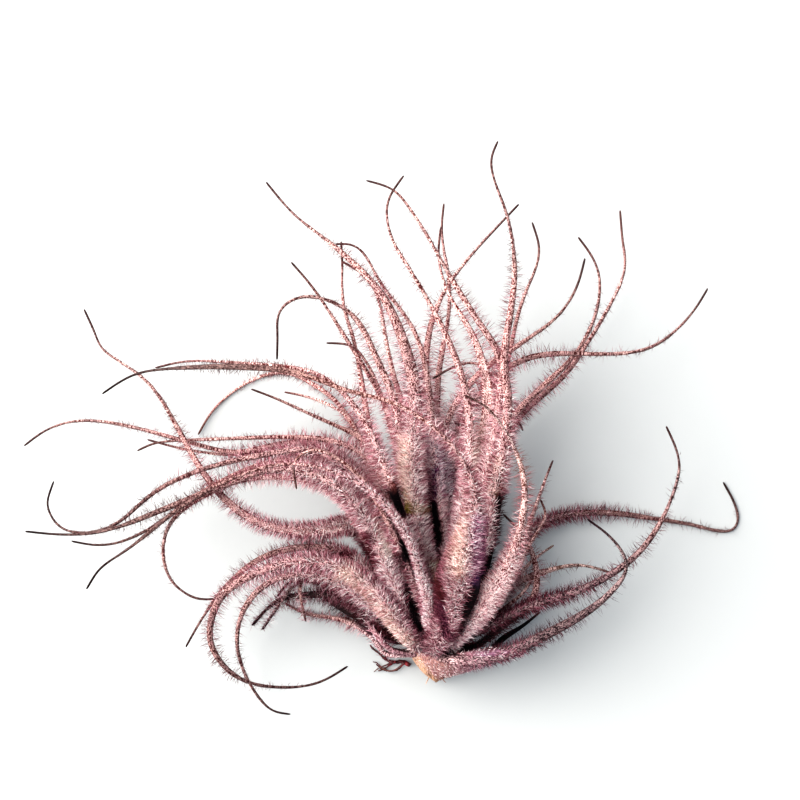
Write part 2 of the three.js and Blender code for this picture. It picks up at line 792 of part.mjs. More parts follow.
// The stem, turned about its axis and flattened where its foot lies on the table.
function makeStem() {
  const profile = stemProfile.map(([radius, distance]) => new THREE.Vector2(radius, distance));
  const geometry = new THREE.LatheGeometry(profile, stemSides);
  geometry.rotateX(stemTilt);
  geometry.translate(...stemFoot);
  const places = geometry.getAttribute("position");
  for (let index = 0; index < places.count; index++) {
    places.setZ(index, Math.max(places.getZ(index), 0));
  }
  const stem = new THREE.Mesh(geometry, stemMaterial);
  stem.name = "stem";
  return stem;
}

// The dry roots: one main root beside the stem foot and two thinner ones that grow out of it.
const rootHeight = 1.1;
const dryRoots = [
  { route: [[411, 665], [402, 661], [394, 662], [386, 660], [379, 653], [372, 648]], thick: 1.1, thin: 0.5 },
  { route: [[404, 662], [398, 669], [390, 671], [383, 669], [376, 664]], thick: 0.6, thin: 0.4 },
  { route: [[396, 661], [391, 664], [385, 668], [378, 671]], thick: 0.6, thin: 0.4 },
];

function rootGeometry({ route, thick, thin }, sides) {
  const points = route.map((pixel, index) => {
    const place = fromPicture(pixel, 0);
    place.z = rootHeight - 0.35 * Math.min(index, 2);
    return place;
  });
  const curve = new THREE.CatmullRomCurve3(points, false, "centripetal");
  const steps = 8;
  const corners = [];
  const triangles = [];
  const frames = curve.computeFrenetFrames(steps, false);
  for (let step = 0; step <= steps; step++) {
    const middle = curve.getPointAt(step / steps);
    const radius = THREE.MathUtils.lerp(thick, thin, step / steps) / 2;
    for (let side = 0; side < sides; side++) {
      const angle = (2 * Math.PI * side) / sides;
      const corner = middle.clone().addScaledVector(frames.normals[step], radius * Math.cos(angle));
      corners.push(corner.addScaledVector(frames.binormals[step], radius * Math.sin(angle)));
    }
  }
  const start = corners.push(points[0].clone()) - 1;
  const end = corners.push(points.at(-1).clone()) - 1;
  for (let side = 0; side < sides; side++) {
    const next = (side + 1) % sides;
    triangles.push([start, next, side], [end, steps * sides + side, steps * sides + next]);
    for (let step = 0; step < steps; step++) {
      const here = step * sides;
      triangles.push([here + side, here + next, here + sides + side]);
      triangles.push([here + next, here + sides + next, here + sides + side]);
    }
  }
  const geometry = new THREE.BufferGeometry().setFromPoints(corners);
  geometry.setIndex(triangles.flat());
  return geometry;
}

async function makeRoots() {
  const wasm = await Module();
  wasm.setup();
  const solids = dryRoots.map((dryRoot) => {
    const merged = mergeVertices(rootGeometry(dryRoot, 6), 1e-3);
    const vertProperties = merged.getAttribute("position").array;
    const triVerts = new Uint32Array(merged.index.array);
    return new wasm.Manifold(new wasm.Mesh({ numProp: 3, vertProperties, triVerts }));
  });
  const joined = solids.reduce((whole, solid) => whole.add(solid)).getMesh();
  const geometry = new THREE.BufferGeometry();
  geometry.setAttribute("position", new THREE.BufferAttribute(joined.vertProperties, 3));
  geometry.setIndex(new THREE.BufferAttribute(joined.triVerts, 1));
  const roots = new THREE.Mesh(geometry, rootMaterial);
  roots.name = "roots";
  return roots;
}

const plant = new THREE.Group();
plant.add(makeStem(), await makeRoots(), ...makeLeaves());

export default plant;
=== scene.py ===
import bisect
import json
import math
import random

import bpy
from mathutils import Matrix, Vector, noise
from mathutils.bvhtree import BVHTree

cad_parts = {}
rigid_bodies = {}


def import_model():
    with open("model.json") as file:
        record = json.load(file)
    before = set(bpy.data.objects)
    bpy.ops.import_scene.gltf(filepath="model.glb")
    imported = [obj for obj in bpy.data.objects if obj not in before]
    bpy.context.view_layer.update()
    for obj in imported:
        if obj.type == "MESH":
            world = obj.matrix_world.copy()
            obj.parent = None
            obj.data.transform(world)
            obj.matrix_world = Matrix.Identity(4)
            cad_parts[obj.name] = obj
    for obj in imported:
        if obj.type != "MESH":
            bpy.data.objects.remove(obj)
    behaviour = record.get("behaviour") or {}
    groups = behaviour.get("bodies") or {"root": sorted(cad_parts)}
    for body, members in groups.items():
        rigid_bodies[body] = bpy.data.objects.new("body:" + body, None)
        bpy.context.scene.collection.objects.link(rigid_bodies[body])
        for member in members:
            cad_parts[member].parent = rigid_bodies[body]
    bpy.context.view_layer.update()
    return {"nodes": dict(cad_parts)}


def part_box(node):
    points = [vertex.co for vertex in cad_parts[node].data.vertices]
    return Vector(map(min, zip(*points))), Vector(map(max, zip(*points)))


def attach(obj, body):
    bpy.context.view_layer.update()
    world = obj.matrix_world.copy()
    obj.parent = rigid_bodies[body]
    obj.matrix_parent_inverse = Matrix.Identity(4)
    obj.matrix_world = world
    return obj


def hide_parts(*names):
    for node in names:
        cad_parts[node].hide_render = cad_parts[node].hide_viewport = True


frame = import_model()
bpy.ops.object.select_all(action="DESELECT")
leafNodes = sorted(name for name in frame["nodes"] if name.startswith("leaf_"))
print("frame loaded,", len(leafNodes), "leaves")

view = {
    "middle": (-0.006126, 0.04254),
    "height": 0.6,
    "width": 0.1361,  # metres of the table across the picture
    "pixels": 800,
}


# the pixel of the picture at which the camera sees a place
def pixelOf(place):
    scale = view["pixels"] / view["width"] * view["height"] / (view["height"] - place.z)
    half = view["pixels"] / 2
    column = half + (place.x - view["middle"][0]) * scale
    row = half - (place.y - view["middle"][1]) * scale
    return Vector((column, row))


# the place at some height that the camera sees at a pixel
def fromPixel(pixel, height):
    scale = view["width"] / view["pixels"] * (view["height"] - height) / view["height"]
    half = view["pixels"] / 2
    x = view["middle"][0] + (pixel[0] - half) * scale
    y = view["middle"][1] - (pixel[1] - half) * scale
    return Vector((x, y, height))


# colours are picked as screen values from 0 to 255
def paint(red, green, blue):
    return tuple(((value / 255 + 0.055) / 1.055) ** 2.4 for value in (red, green, blue)) + (1,)


def pickOnly(piece):
    bpy.ops.object.select_all(action="DESELECT")
    piece.select_set(True)
    bpy.context.view_layer.objects.active = piece


def applyModifiers(piece):
    pickOnly(piece)
    for modifier in list(piece.modifiers):
        bpy.ops.object.modifier_apply(modifier=modifier.name)


def copyNode(node, name):
    piece = bpy.data.objects.new(name, frame["nodes"][node].data.copy())
    bpy.context.collection.objects.link(piece)
    pickOnly(piece)
    bpy.ops.object.mode_set(mode="EDIT")
    bpy.ops.mesh.select_all(action="SELECT")
    bpy.ops.mesh.remove_doubles(threshold=0.000001)
    bpy.ops.object.mode_set(mode="OBJECT")
    return piece


lowestPoint = 0.00003


# nothing hangs under the floor
def settle(piece):
    for vertex in piece.data.vertices:
        vertex.co.z = max(vertex.co.z, lowestPoint)


# a thin sheet of faces is made a closed, rounded wall
def makeWall(sheet, thickness):
    bpy.ops.object.mode_set(mode="EDIT")
    bpy.ops.mesh.select_all(action="SELECT")
    bpy.ops.mesh.normals_make_consistent(inside=False)
    bpy.ops.object.mode_set(mode="OBJECT")
    wall = sheet.modifiers.new("wall", "SOLIDIFY")
    wall.thickness = thickness
    wall.offset = 0
    fine = sheet.modifiers.new("fine", "SUBSURF")
    fine.levels = fine.render_levels = 1
    applyModifiers(sheet)


valueKinds = {
    "skinColor": "FLOAT_COLOR",
    "bladePlace": "FLOAT_VECTOR",
    "tipward": "FLOAT_VECTOR",
    "outward": "FLOAT_VECTOR",
}


# keeps lists of values, by name, at the corners of a mesh
def storeValues(mesh, values):
    for name, found in values.items():
        kind = valueKinds.get(name, "FLOAT")
        attribute = mesh.attributes.new(name, kind, "POINT")
        if kind == "FLOAT":
            attribute.data.foreach_set("value", found)
        else:
            key = "vector" if kind == "FLOAT_VECTOR" else "color"
            attribute.data.foreach_set(key, [number for value in found for number in value])


# a node with its settings, and with its sockets linked or set; gives one of its outputs
def addNode(tree, kind, inputs, output=0, **settings):
    node = tree.nodes.new(kind)
    for name, value in settings.items():
        setattr(node, name, value)
    for name, value in inputs.items():
        if isinstance(value, bpy.types.NodeSocket):
            tree.links.new(value, node.inputs[name])
        else:
            node.inputs[name].default_value = value
    return node.outputs[output]


def addRamp(tree, source, stops):
    color = addNode(tree, "ShaderNodeValToRGB", {"Fac": source})
    elements = color.node.color_ramp.elements
    while len(elements) < len(stops):
        elements.new(0.5)
    for element, (place, paint) in zip(elements, stops):
        element.position = place
        element.color = paint
    return color


def mixColors(tree, factor, first, second, blend="MIX"):
    sockets = {0: factor, 6: first, 7: second}
    return addNode(tree, "ShaderNodeMix", sockets, 2, data_type="RGBA", blend_type=blend)


def readValue(tree, name, output="Fac"):
    return addNode(tree, "ShaderNodeAttribute", {}, output, attribute_name=name)


def addNoise(tree, vector, scale, detail, roughness=0.5):
    sockets = {"Vector": vector, "Scale": scale, "Detail": detail, "Roughness": roughness}
    return addNode(tree, "ShaderNodeTexNoise", sockets, "Fac")


def makeMaterial(name):
    material = bpy.data.materials.new(name)
    material.use_nodes = True
    return material, material.node_tree


# gives a material's shader its colour and finish, and a bump where there is one
def finishMaterial(material, color, finish, height=None):
    tree = material.node_tree
    sockets = tree.nodes["Principled BSDF"].inputs
    tree.links.new(color, sockets["Base Color"])
    sockets["Roughness"].default_value = finish["roughness"]
    if "specular" in finish:
        sockets["Specular IOR Level"].default_value = finish["specular"]
    if height:
        bump = addNode(tree, "ShaderNodeBump", {"Distance": finish["bumpHeight"], "Height": height})
        tree.links.new(bump, sockets["Normal"])
    return material


black = (0, 0, 0, 1)
white = (1, 1, 1, 1)
leafSkin = {
    "speckle": (9000, 4200, 1),  # per metre, across and along the blade
    "speckleDetail": 3,
    "speckleStops": [(0.43, black), (0.58, white)],
    "innerUntil": 0.3,  # shares of the leaf between which the inner scales give way to the outer ones
    "outerFrom": 0.7,
    "darkScale": (0.24, 0.16, 0.17, 1),
    "outerDarkScale": (0.4, 0.3, 0.3, 1),
    "paleScale": paint(250, 222, 218),
    "outerPaleScale": paint(250, 224, 216),
    "paleShare": 0.75,
    "palePower": 1.5,
    "outerPaleLoss": 0.3,
    "paleEnds": 0.82,
    "blotches": 420,
    "blotchDetail": 4,
    "blotchStops": [(0.35, black), (0.7, white)],
    "darkBlotch": (0.72, 0.66, 0.68, 1),
    "lightBlotch": (1.15, 1.1, 1.08, 1),
    # painted shade: the colour that darkens the skin where other leaves shelter it
    "shelterShade": (0.06, 0.05, 0.07, 1),
    "bumpHeight": 0.00006,
    "roughness": 0.6,
    "specular": 0.12,
}


def makeLeafSkin():
    material, tree = makeMaterial("leafSkin")
    body = readValue(tree, "skinColor", "Color")
    along = readValue(tree, "alongLeaf")
    sockets = {"Vector": readValue(tree, "bladePlace", "Vector"), "Scale": leafSkin["speckle"]}
    speckles = addNoise(tree, addNode(tree, "ShaderNodeMapping", sockets), 1, leafSkin["speckleDetail"])
    place = addNode(tree, "ShaderNodeTexCoord", {}, "Object")
    blotches = addNoise(tree, place, leafSkin["blotches"], leafSkin["blotchDetail"])

    def rampAlong(inner, outer):
        stops = [(leafSkin["innerUntil"], leafSkin[inner]), (leafSkin["outerFrom"], leafSkin[outer])]
        return addRamp(tree, along, stops)

    dark = mixColors(tree, 1.0, body, rampAlong("darkScale", "outerDarkScale"), "MULTIPLY")
    pale = mixColors(tree, readValue(tree, "paleness"), body, rampAlong("paleScale", "outerPaleScale"))
    speckled = mixColors(tree, addRamp(tree, speckles, leafSkin["speckleStops"]), dark, pale)
    blotchRamp = addRamp(tree, blotches, leafSkin["blotchStops"])
    mottled = mixColors(tree, blotchRamp, leafSkin["darkBlotch"], leafSkin["lightBlotch"])
    tinted = mixColors(tree, 1.0, speckled, mottled, "MULTIPLY")
    # painted shade where the other leaves shelter the skin, by its openness
    shaded = mixColors(tree, 1.0, tinted, leafSkin["shelterShade"], "MULTIPLY")
    color = mixColors(tree, readValue(tree, "openness"), shaded, tinted)
    return finishMaterial(material, color, leafSkin, speckles)


hairFinish = {
    "tints": [  # from the sheltered hairs to the ones in full light
        (0, paint(42, 14, 18)), (0.2, paint(108, 54, 62)),
        (0.42, paint(196, 138, 150)), (0.64, paint(244, 219, 217)), (0.86, paint(255, 250, 246)),
    ],
    "skinShare": 0.3,  # how much of the leaf's own colour a hair takes
    "roughness": 0.42,
    "specular": 0.1,
}


def makeHairMaterial():
    material, tree = makeMaterial("paleHair")
    pale = addRamp(tree, readValue(tree, "hairTint"), hairFinish["tints"])
    color = mixColors(tree, hairFinish["skinShare"], pale, readValue(tree, "skinColor", "Color"))
    return finishMaterial(material, color, hairFinish)


skinMaterial = makeLeafSkin()
hairMaterial = makeHairMaterial()

ringCorners = 6  # round the section of a leaf's solid


# the rings of corners of a leaf's solid, from one end to the other
def walkRings(mesh):
    near = [set() for vertex in mesh.vertices]
    for edge in mesh.edges:
        first, second = edge.vertices
        near[first].add(second)
        near[second].add(first)
    for start in range(len(near)):
        layers = [{start}]
        seen = {start}
        while layers[-1]:
            nextLayer = {other for vertex in layers[-1] for other in near[vertex]} - seen
            seen |= nextLayer
            layers.append(nextLayer)
            if len(nextLayer) not in (0, 1, ringCorners):
                break
        if not layers[-1] and len(layers[-2]) == 1:
            return layers[:-1]
    raise ValueError("a blade has no rings")


stemLow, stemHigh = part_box("stem")
stemFootHeight = 0.0015
stemTilt = math.radians(22)
stemFoot = Vector((0, stemLow.y, stemLow.z + stemFootHeight))
stemAxis = Vector((0, math.cos(stemTilt), math.sin(stemTilt)))
stemUp = Vector((0, -stemAxis.z, stemAxis.y))
stemMiddle = (stemLow + stemHigh) / 2


def towardAxis(place):
    return stemFoot + stemAxis * (place - stemFoot).dot(stemAxis) - place


def readRings(node):
    guide = copyNode(node, "guide")
    corners = [vertex.co.copy() for vertex in guide.data.vertices]
    layers = [[corners[index] for index in layer] for layer in walkRings(guide.data)]
    bpy.data.objects.remove(guide)
    if (layers[0][0] - stemMiddle).length > (layers[-1][0] - stemMiddle).length:
        layers.reverse()
    rings = []
    for layer in layers[1:-1]:
        pairs = ((first, second) for first in layer for second in layer)
        left, right = max(pairs, key=lambda pair: (pair[0] - pair[1]).length)
        side = right - left
        if rings and side.dot(rings[-1]["side"]) < 0:
            side.negate()
        middle = sum(layer, Vector()) / len(layer)
        rings.append({"middle": middle, "side": side.normalized(), "half": side.length / 2})
    root = {**rings[0], "middle": layers[0][0]}
    tip = {**rings[-1], "middle": layers[-1][0]}
    return [root, *rings, tip]


def splinePoint(values, place):
    span = len(values) - 1
    index = min(int(place), span - 1)
    share = place - index
    before, first = values[max(index - 1, 0)], values[index]
    second, after = values[index + 1], values[min(index + 2, span)]
    return 0.5 * (
        2 * first
        + (second - before) * share
        + (2 * before - 5 * first + 4 * second - after) * share**2
        + (3 * first - before - 3 * second + after) * share**3
    )


def smoothRise(low, high, value):
    share = min(max((value - low) / (high - low), 0), 1)
    return share * share * (3 - 2 * share)


leafShape = {
    "columns": 6,
    "fewestRows": 12,
    "rowSpacing": 0.0013,
    "stepsPerRing": 8,
    "thickness": 0.0009,
    "edgeThickness": 0.55,  # shares of the thickness
    "tipThickness": 0.38,
    "thinFrom": 0.45,
    "tipHalfWidth": 0.00021,
    "tipStarts": 0.78,
    "clasp": 0.75,  # how deep the channel is at the base, in half widths
    "channel": 0.42,
    "channelMiddle": 0.45,
    "claspEnds": 0.3,
    "sheathWidening": 0.35,
    "sheathEnds": 0.14,
    "facingWithin": 0.35,  # the share of the leaf that settles which face looks at the stem
}


def readStops(stops, share):
    for (low, first), (high, second) in zip(stops, stops[1:]):
        if share <= high:
            return first + (second - first) * smoothRise(low, high, share)
    return stops[-1][1]


# stations along a leaf's middle line, from its base to its tip, and its length
def readRoute(node, number):
    rings = readRings(node)
    last = len(rings) - 1
    trim = leafNotes.get(number, {}).get("trim", [(0, 1), (1, 1)])
    count = last * leafShape["stepsPerRing"]
    traced = [ring["middle"] for ring in rings]
    eased = [(traced[i - 1] + 4 * traced[i] + traced[i + 1]) / 6 for i in range(1, last)]
    middles = [traced[0], *eased, traced[last]]
    places = [step / leafShape["stepsPerRing"] for step in range(count + 1)]
    points = [splinePoint(middles, place) for place in places]
    sides = [splinePoint([ring["side"] for ring in rings], place) for place in places]
    halves = [splinePoint([ring["half"] for ring in rings], place) for place in places]
    lengths = [0]
    for first, second in zip(points, points[1:]):
        lengths.append(lengths[-1] + (second - first).length)
    route = []
    facing = 0
    for index, point in enumerate(points):
        ahead = (points[min(index + 1, count)] - points[max(index - 1, 0)]).normalized()
        side = (sides[index] - ahead * sides[index].dot(ahead)).normalized()
        share = lengths[index] / lengths[-1]
        half = halves[index] * readStops(trim, share)
        route.append({"share": share, "middle": point, "side": side, "ahead": ahead, "half": half})
        if share < leafShape["facingWithin"]:
            facing += side.cross(ahead).dot(towardAxis(point))
    if facing < 0:
        for station in route:
            station["side"].negate()
    return route, lengths[-1]


def stationAt(route, share):
    index = bisect.bisect_left([station["share"] for station in route], share)
    index = min(max(index, 1), len(route) - 1)
    first, second = route[index - 1], route[index]
    mix = min(max((share - first["share"]) / (second["share"] - first["share"]), 0), 1)
    return {
        "middle": first["middle"].lerp(second["middle"], mix),
        "side": first["side"].lerp(second["side"], mix).normalized(),
        "ahead": first["ahead"].lerp(second["ahead"], mix).normalized(),
        "half": first["half"] + (second["half"] - first["half"]) * mix,
    }


def placeOnBlade(station, across, along, tipHalf):
    taper = smoothRise(leafShape["tipStarts"], 1, along)
    widening = 1 + leafShape["sheathWidening"] * (1 - smoothRise(0, leafShape["sheathEnds"], along))
    half = station["half"] * widening
    half += (tipHalf - half) * taper
    clasp = 1 - smoothRise(0, leafShape["claspEnds"], along)
    depth = leafShape["channel"] + (leafShape["clasp"] - leafShape["channel"]) * clasp
    depth *= half * (1 - taper)
    face = station["side"].cross(station["ahead"])
    edge = station["middle"] + station["side"] * half * across
    return edge + face * depth * (across**2 - leafShape["channelMiddle"])


def makeBlade(route, length, number):
    bpy.ops.mesh.primitive_grid_add(
        x_subdivisions=leafShape["columns"],
        y_subdivisions=max(leafShape["fewestRows"], round(length / leafShape["rowSpacing"])),
        size=2,
    )
    blade = bpy.context.active_object
    blade.name = "blade_%02d" % number
    places = [(vertex.co.x, (vertex.co.y + 1) / 2) for vertex in blade.data.vertices]
    tipHalf = leafNotes.get(number, {}).get("tipHalf", leafShape["tipHalfWidth"])
    thickness = blade.vertex_groups.new(name="thickness")
    for vertex, (across, along) in zip(blade.data.vertices, places):
        vertex.co = placeOnBlade(stationAt(route, along), across, along, tipHalf)
        weight = 1 + (leafShape["tipThickness"] - 1) * smoothRise(leafShape["thinFrom"], 1, along)
        weight *= 1 - (1 - leafShape["edgeThickness"]) * across**2
        thickness.add([vertex.index], weight, "REPLACE")
    acrosses, alongs = zip(*places)
    storeValues(blade.data, {"acrossLeaf": acrosses, "alongLeaf": alongs})
    solid = blade.modifiers.new("thickness", "SOLIDIFY")
    solid.thickness = leafShape["thickness"]
    solid.offset = 0
    solid.vertex_group = "thickness"
    fine = blade.modifiers.new("fine", "SUBSURF")
    fine.levels = fine.render_levels = 1
    applyModifiers(blade)
    bpy.ops.object.shade_smooth()
    settle(blade)
    blade.data.materials.append(skinMaterial)
    return blade


# painted shade: how closely other leaves stand round each spot of a leaf, which darkens its skin and hairs
shelterRule = {
    "reach": 0.009,
    "near": 0.003,
    "nearShare": 0.45,
    "rays": 26,
    "clear": 0.0007,
    "grazing": 0.1,  # flatter rays than this aren't cast
    "openBelow": 0.12,  # shelter under which a spot counts as open
    "closedAbove": 0.6,
    "deepWithin": 0.024,  # metres from the foot, where the shelter counts in full
    "lightBeyond": 0.046,
    "lightShare": 0.3,
    "hairShade": 0.1,
    "hairShare": 0.4,
}


def gatherSolids():
    corners, faces = [], []
    for node in [*leafNodes, "stem"]:
        mesh = frame["nodes"][node].data
        first = len(corners)
        corners += [vertex.co.copy() for vertex in mesh.vertices]
        faces += [[first + index for index in face.vertices] for face in mesh.polygons]
    return BVHTree.FromPolygons(corners, faces)


def spreadDirections(count):
    directions = []
    for index in range(count):
        height = 1 - (2 * index + 1) / count
        turn = index * math.pi * (3 - math.sqrt(5))
        radius = math.sqrt(1 - height**2)
        directions.append(Vector((radius * math.cos(turn), radius * math.sin(turn), height)))
    return directions


solids = gatherSolids()
rayDirections = spreadDirections(shelterRule["rays"])


# how much light comes to a spot past the other leaves, from 0 to 1; it sets the painted shade on skin and
# hairs
def openness(place, normal):
    start = place + normal * shelterRule["clear"]
    reach, nearShare = shelterRule["reach"], shelterRule["nearShare"]
    blocked = total = 0
    for direction in rayDirections:
        weight = direction.dot(normal)
        if weight > shelterRule["grazing"]:
            distance = solids.ray_cast(start, direction, reach)[3]
            total += weight
            if distance is not None:
                blocked += weight * (1 - nearShare) * math.sqrt(1 - distance / reach)
                blocked += weight * nearShare * (distance < shelterRule["near"])
    shelter = smoothRise(shelterRule["openBelow"], shelterRule["closedAbove"], blocked / total)
    far = smoothRise(shelterRule["deepWithin"], shelterRule["lightBeyond"], (place - stemFoot).length)
    return 1 - shelter * (1 + (shelterRule["lightShare"] - 1) * far)


# colours along a leaf, from its base to its tip
leafTones = {
    "pink": [
        (0, paint(150, 88, 108)), (0.35, paint(150, 84, 92)), (0.6, paint(124, 60, 58)),
        (0.85, paint(106, 52, 46)), (1, paint(74, 54, 52)),
    ],
    "maroon": [(0, paint(84, 30, 46)), (0.5, paint(64, 18, 32)), (0.95, paint(70, 24, 38))],
    "magenta": [
        (0, paint(74, 26, 58)), (0.45, paint(92, 32, 66)), (0.7, paint(104, 42, 48)),
        (1, paint(84, 56, 54)),
    ],
    "tan": [(0, paint(150, 118, 110)), (0.5, paint(136, 108, 96)), (0.95, paint(92, 78, 70))],
    "sheath": [
        (0, paint(156, 116, 112)), (0.2, paint(128, 92, 106)), (0.4, paint(92, 56, 72)),
        (1, paint(60, 30, 40)),
    ],
    "copper": [
        (0, paint(152, 90, 108)), (0.4, paint(150, 90, 90)), (0.6, paint(138, 80, 66)),
        (0.8, paint(96, 52, 46)), (1, paint(74, 56, 52)),
    ],
}
# how much lighter or darker each leaf is painted near its base, at its middle and towards its tip: partly
# its own tone, partly painted light and shade
paintedLeafLights = {
    1: (1, 0.6, 0.7), 2: (1, 1.1, 1.3), 3: (1, 1.2, 1.9), 5: (1.3, 1.8, 2), 7: (1.1, 1.3, 1.1),
    9: (1, 0.85, 1), 10: (0.7, 0.34, 0.36), 12: (1.1, 1.3, 1.3), 13: (1.1, 1.2, 1.1),
    15: (1.05, 1.1, 1.3), 18: (1, 0.9, 1), 19: (1.2, 1, 1.15), 20: (1, 0.95, 1), 21: (1, 0.85, 1),
    22: (1.3, 1, 0.8), 23: (1, 1, 1.2), 24: (1, 1.1, 1), 25: (1, 1.2, 1.7), 26: (1.35, 1.25, 1.3),
    27: (0.85, 0.6, 0.85), 28: (0.9, 0.9, 1.2), 29: (1.2, 0.75, 0.95), 30: (0.95, 0.78, 1),
    31: (0.8, 0.6, 0.95), 32: (1, 0.82, 0.72), 33: (0.85, 0.5, 0.75), 34: (1.1, 1.8, 0.95),
    35: (1.4, 0.95, 0.6), 36: (1.2, 1.4, 1), 37: (1, 1.5, 1.6), 38: (1.6, 0.95, 1.25),
    39: (1, 1.2, 1.6), 40: (1, 1.1, 1.5), 41: (1, 1.15, 0.8), 42: (1.1, 0.9, 0.95),
    43: (1.1, 1.4, 1.7), 44: (1, 1.15, 1.1), 45: (1, 1.15, 1.05), 47: (1, 1.05, 1.35),
    48: (1.1, 0.72, 0.56), 49: (1.1, 0.84, 0.46), 50: (0.76, 0.72, 0.62), 51: (0.55, 0.55, 0.8),
    52: (0.75, 0.45, 0.75), 53: (1, 0.82, 1.1), 54: (0.84, 0.74, 0.45), 55: (1.5, 1.2, 1.5),
    56: (0.6, 0.88, 0.45),
}
# how much the other leaves shelter a leaf with painted shade, where that isn't in full
leafShelters = {
    5: 0.1, 22: 0.6, 26: 0.4, 34: 0.15, 35: 0.4, 36: 0.4, 38: 0.4, 39: 0.3, 42: 0.6, 43: 0.45, 45: 0.6,
    49: 0.65, 55: 0.2,
}
# what else is special about single leaves
leafNotes = {
    5: {"tone": "tan"},
    7: {"bareFrom": 0.9, "bareBase": 0.9, "outerFuzz": 0.4, "outerTone": 0.6},
    10: {
        "tone": "maroon", "pale": 0.3, "bareBase": 0.45, "bareFrom": 0.86, "outerFuzz": 0.3,
        "outerTone": 0.5, "hairTone": 0.6,
        "trim": [(0, 1), (0.1, 1.6), (0.24, 1.5), (0.42, 1), (1, 1)],
    },
    18: {"trim": [(0, 1), (0.14, 1.35), (0.26, 1.3), (0.42, 1), (1, 1)]},
    27: {
        "tone": "maroon", "pale": 0.3, "bareBase": 0.3, "bareFrom": 0.97, "outerFuzz": 0.45,
        "outerTone": 0.7, "tipHalf": 0.00042,
    },
    28: {
        "tone": "maroon", "pale": 0.6, "bareFrom": 0.97, "outerFuzz": 0.45, "outerTone": 0.75,
        "tipHalf": 0.00036,
    },
    29: {
        "tone": "maroon", "pale": 0.35, "bareFrom": 0.9, "bareBase": 0.8, "outerFuzz": 0.4,
        "outerTone": 0.7, "trim": [(0, 1), (0.1, 1.35), (0.24, 1.3), (0.42, 1), (1, 1)],
    },
    30: {"bareFrom": 0.97, "outerFuzz": 0.45, "outerTone": 0.8, "tipHalf": 0.0003},
    31: {
        "tone": "maroon", "pale": 0.35, "bareFrom": 0.97, "bareBase": 0.35, "outerFuzz": 0.45,
        "outerTone": 0.7, "tipHalf": 0.0003,
    },
    36: {"tone": "tan", "hairTone": 0.8},
    46: {"trim": [(0, 1), (0.08, 1.25), (0.3, 1.35), (0.45, 1), (1, 1)]},
    51: {"tone": "magenta", "hairTone": 0.55, "amount": 0.7},
    52: {
        "tone": "sheath", "bareBase": 0.4, "hairTone": 0.5, "amount": 0.4,
        "trim": [(0, 1.5), (0.12, 1.25), (0.3, 1), (1, 1)],
    },
    54: {
        "hairLength": 0.45, "hairTone": 1.3, "amount": 1.2,
        "trim": [(0, 1), (0.06, 0.95), (0.14, 0.55), (0.3, 0.38), (0.6, 0.42), (0.8, 0.8), (1, 1)],
    },
    55: {"tone": "copper", "trim": [(0, 1), (0.25, 0.9), (0.5, 0.62), (0.8, 0.7), (1, 1)]},
    56: {
        "tone": "copper",
        "trim": [(0, 1), (0.12, 1.2), (0.27, 1.15), (0.42, 0.5), (0.6, 0.5), (0.75, 1), (1, 1)],
    },
}

# painted shade: the near black of the deep gaps between the leaves, where the plant's inside lies in shadow
paintedGapShade = paint(26, 14, 22)
# painted shade in violet, and a painted highlight in cream on the pale hair
paintedShadeViolet = paint(140, 92, 146)
creamHighlight = paint(246, 218, 188)


# a patch of colour on some leaves, along a line between two pixels of the picture, half as wide as
# half says; tone and fuzz scale the hairs' light and their number
def patch(leaves, start, end, half, color, tone, fuzz=1, soft=False):
    return {
        "leaves": leaves, "from": Vector(start), "to": Vector(end), "half": half,
        "color": Vector(color), "tone": tone, "fuzz": fuzz, "soft": soft,
    }
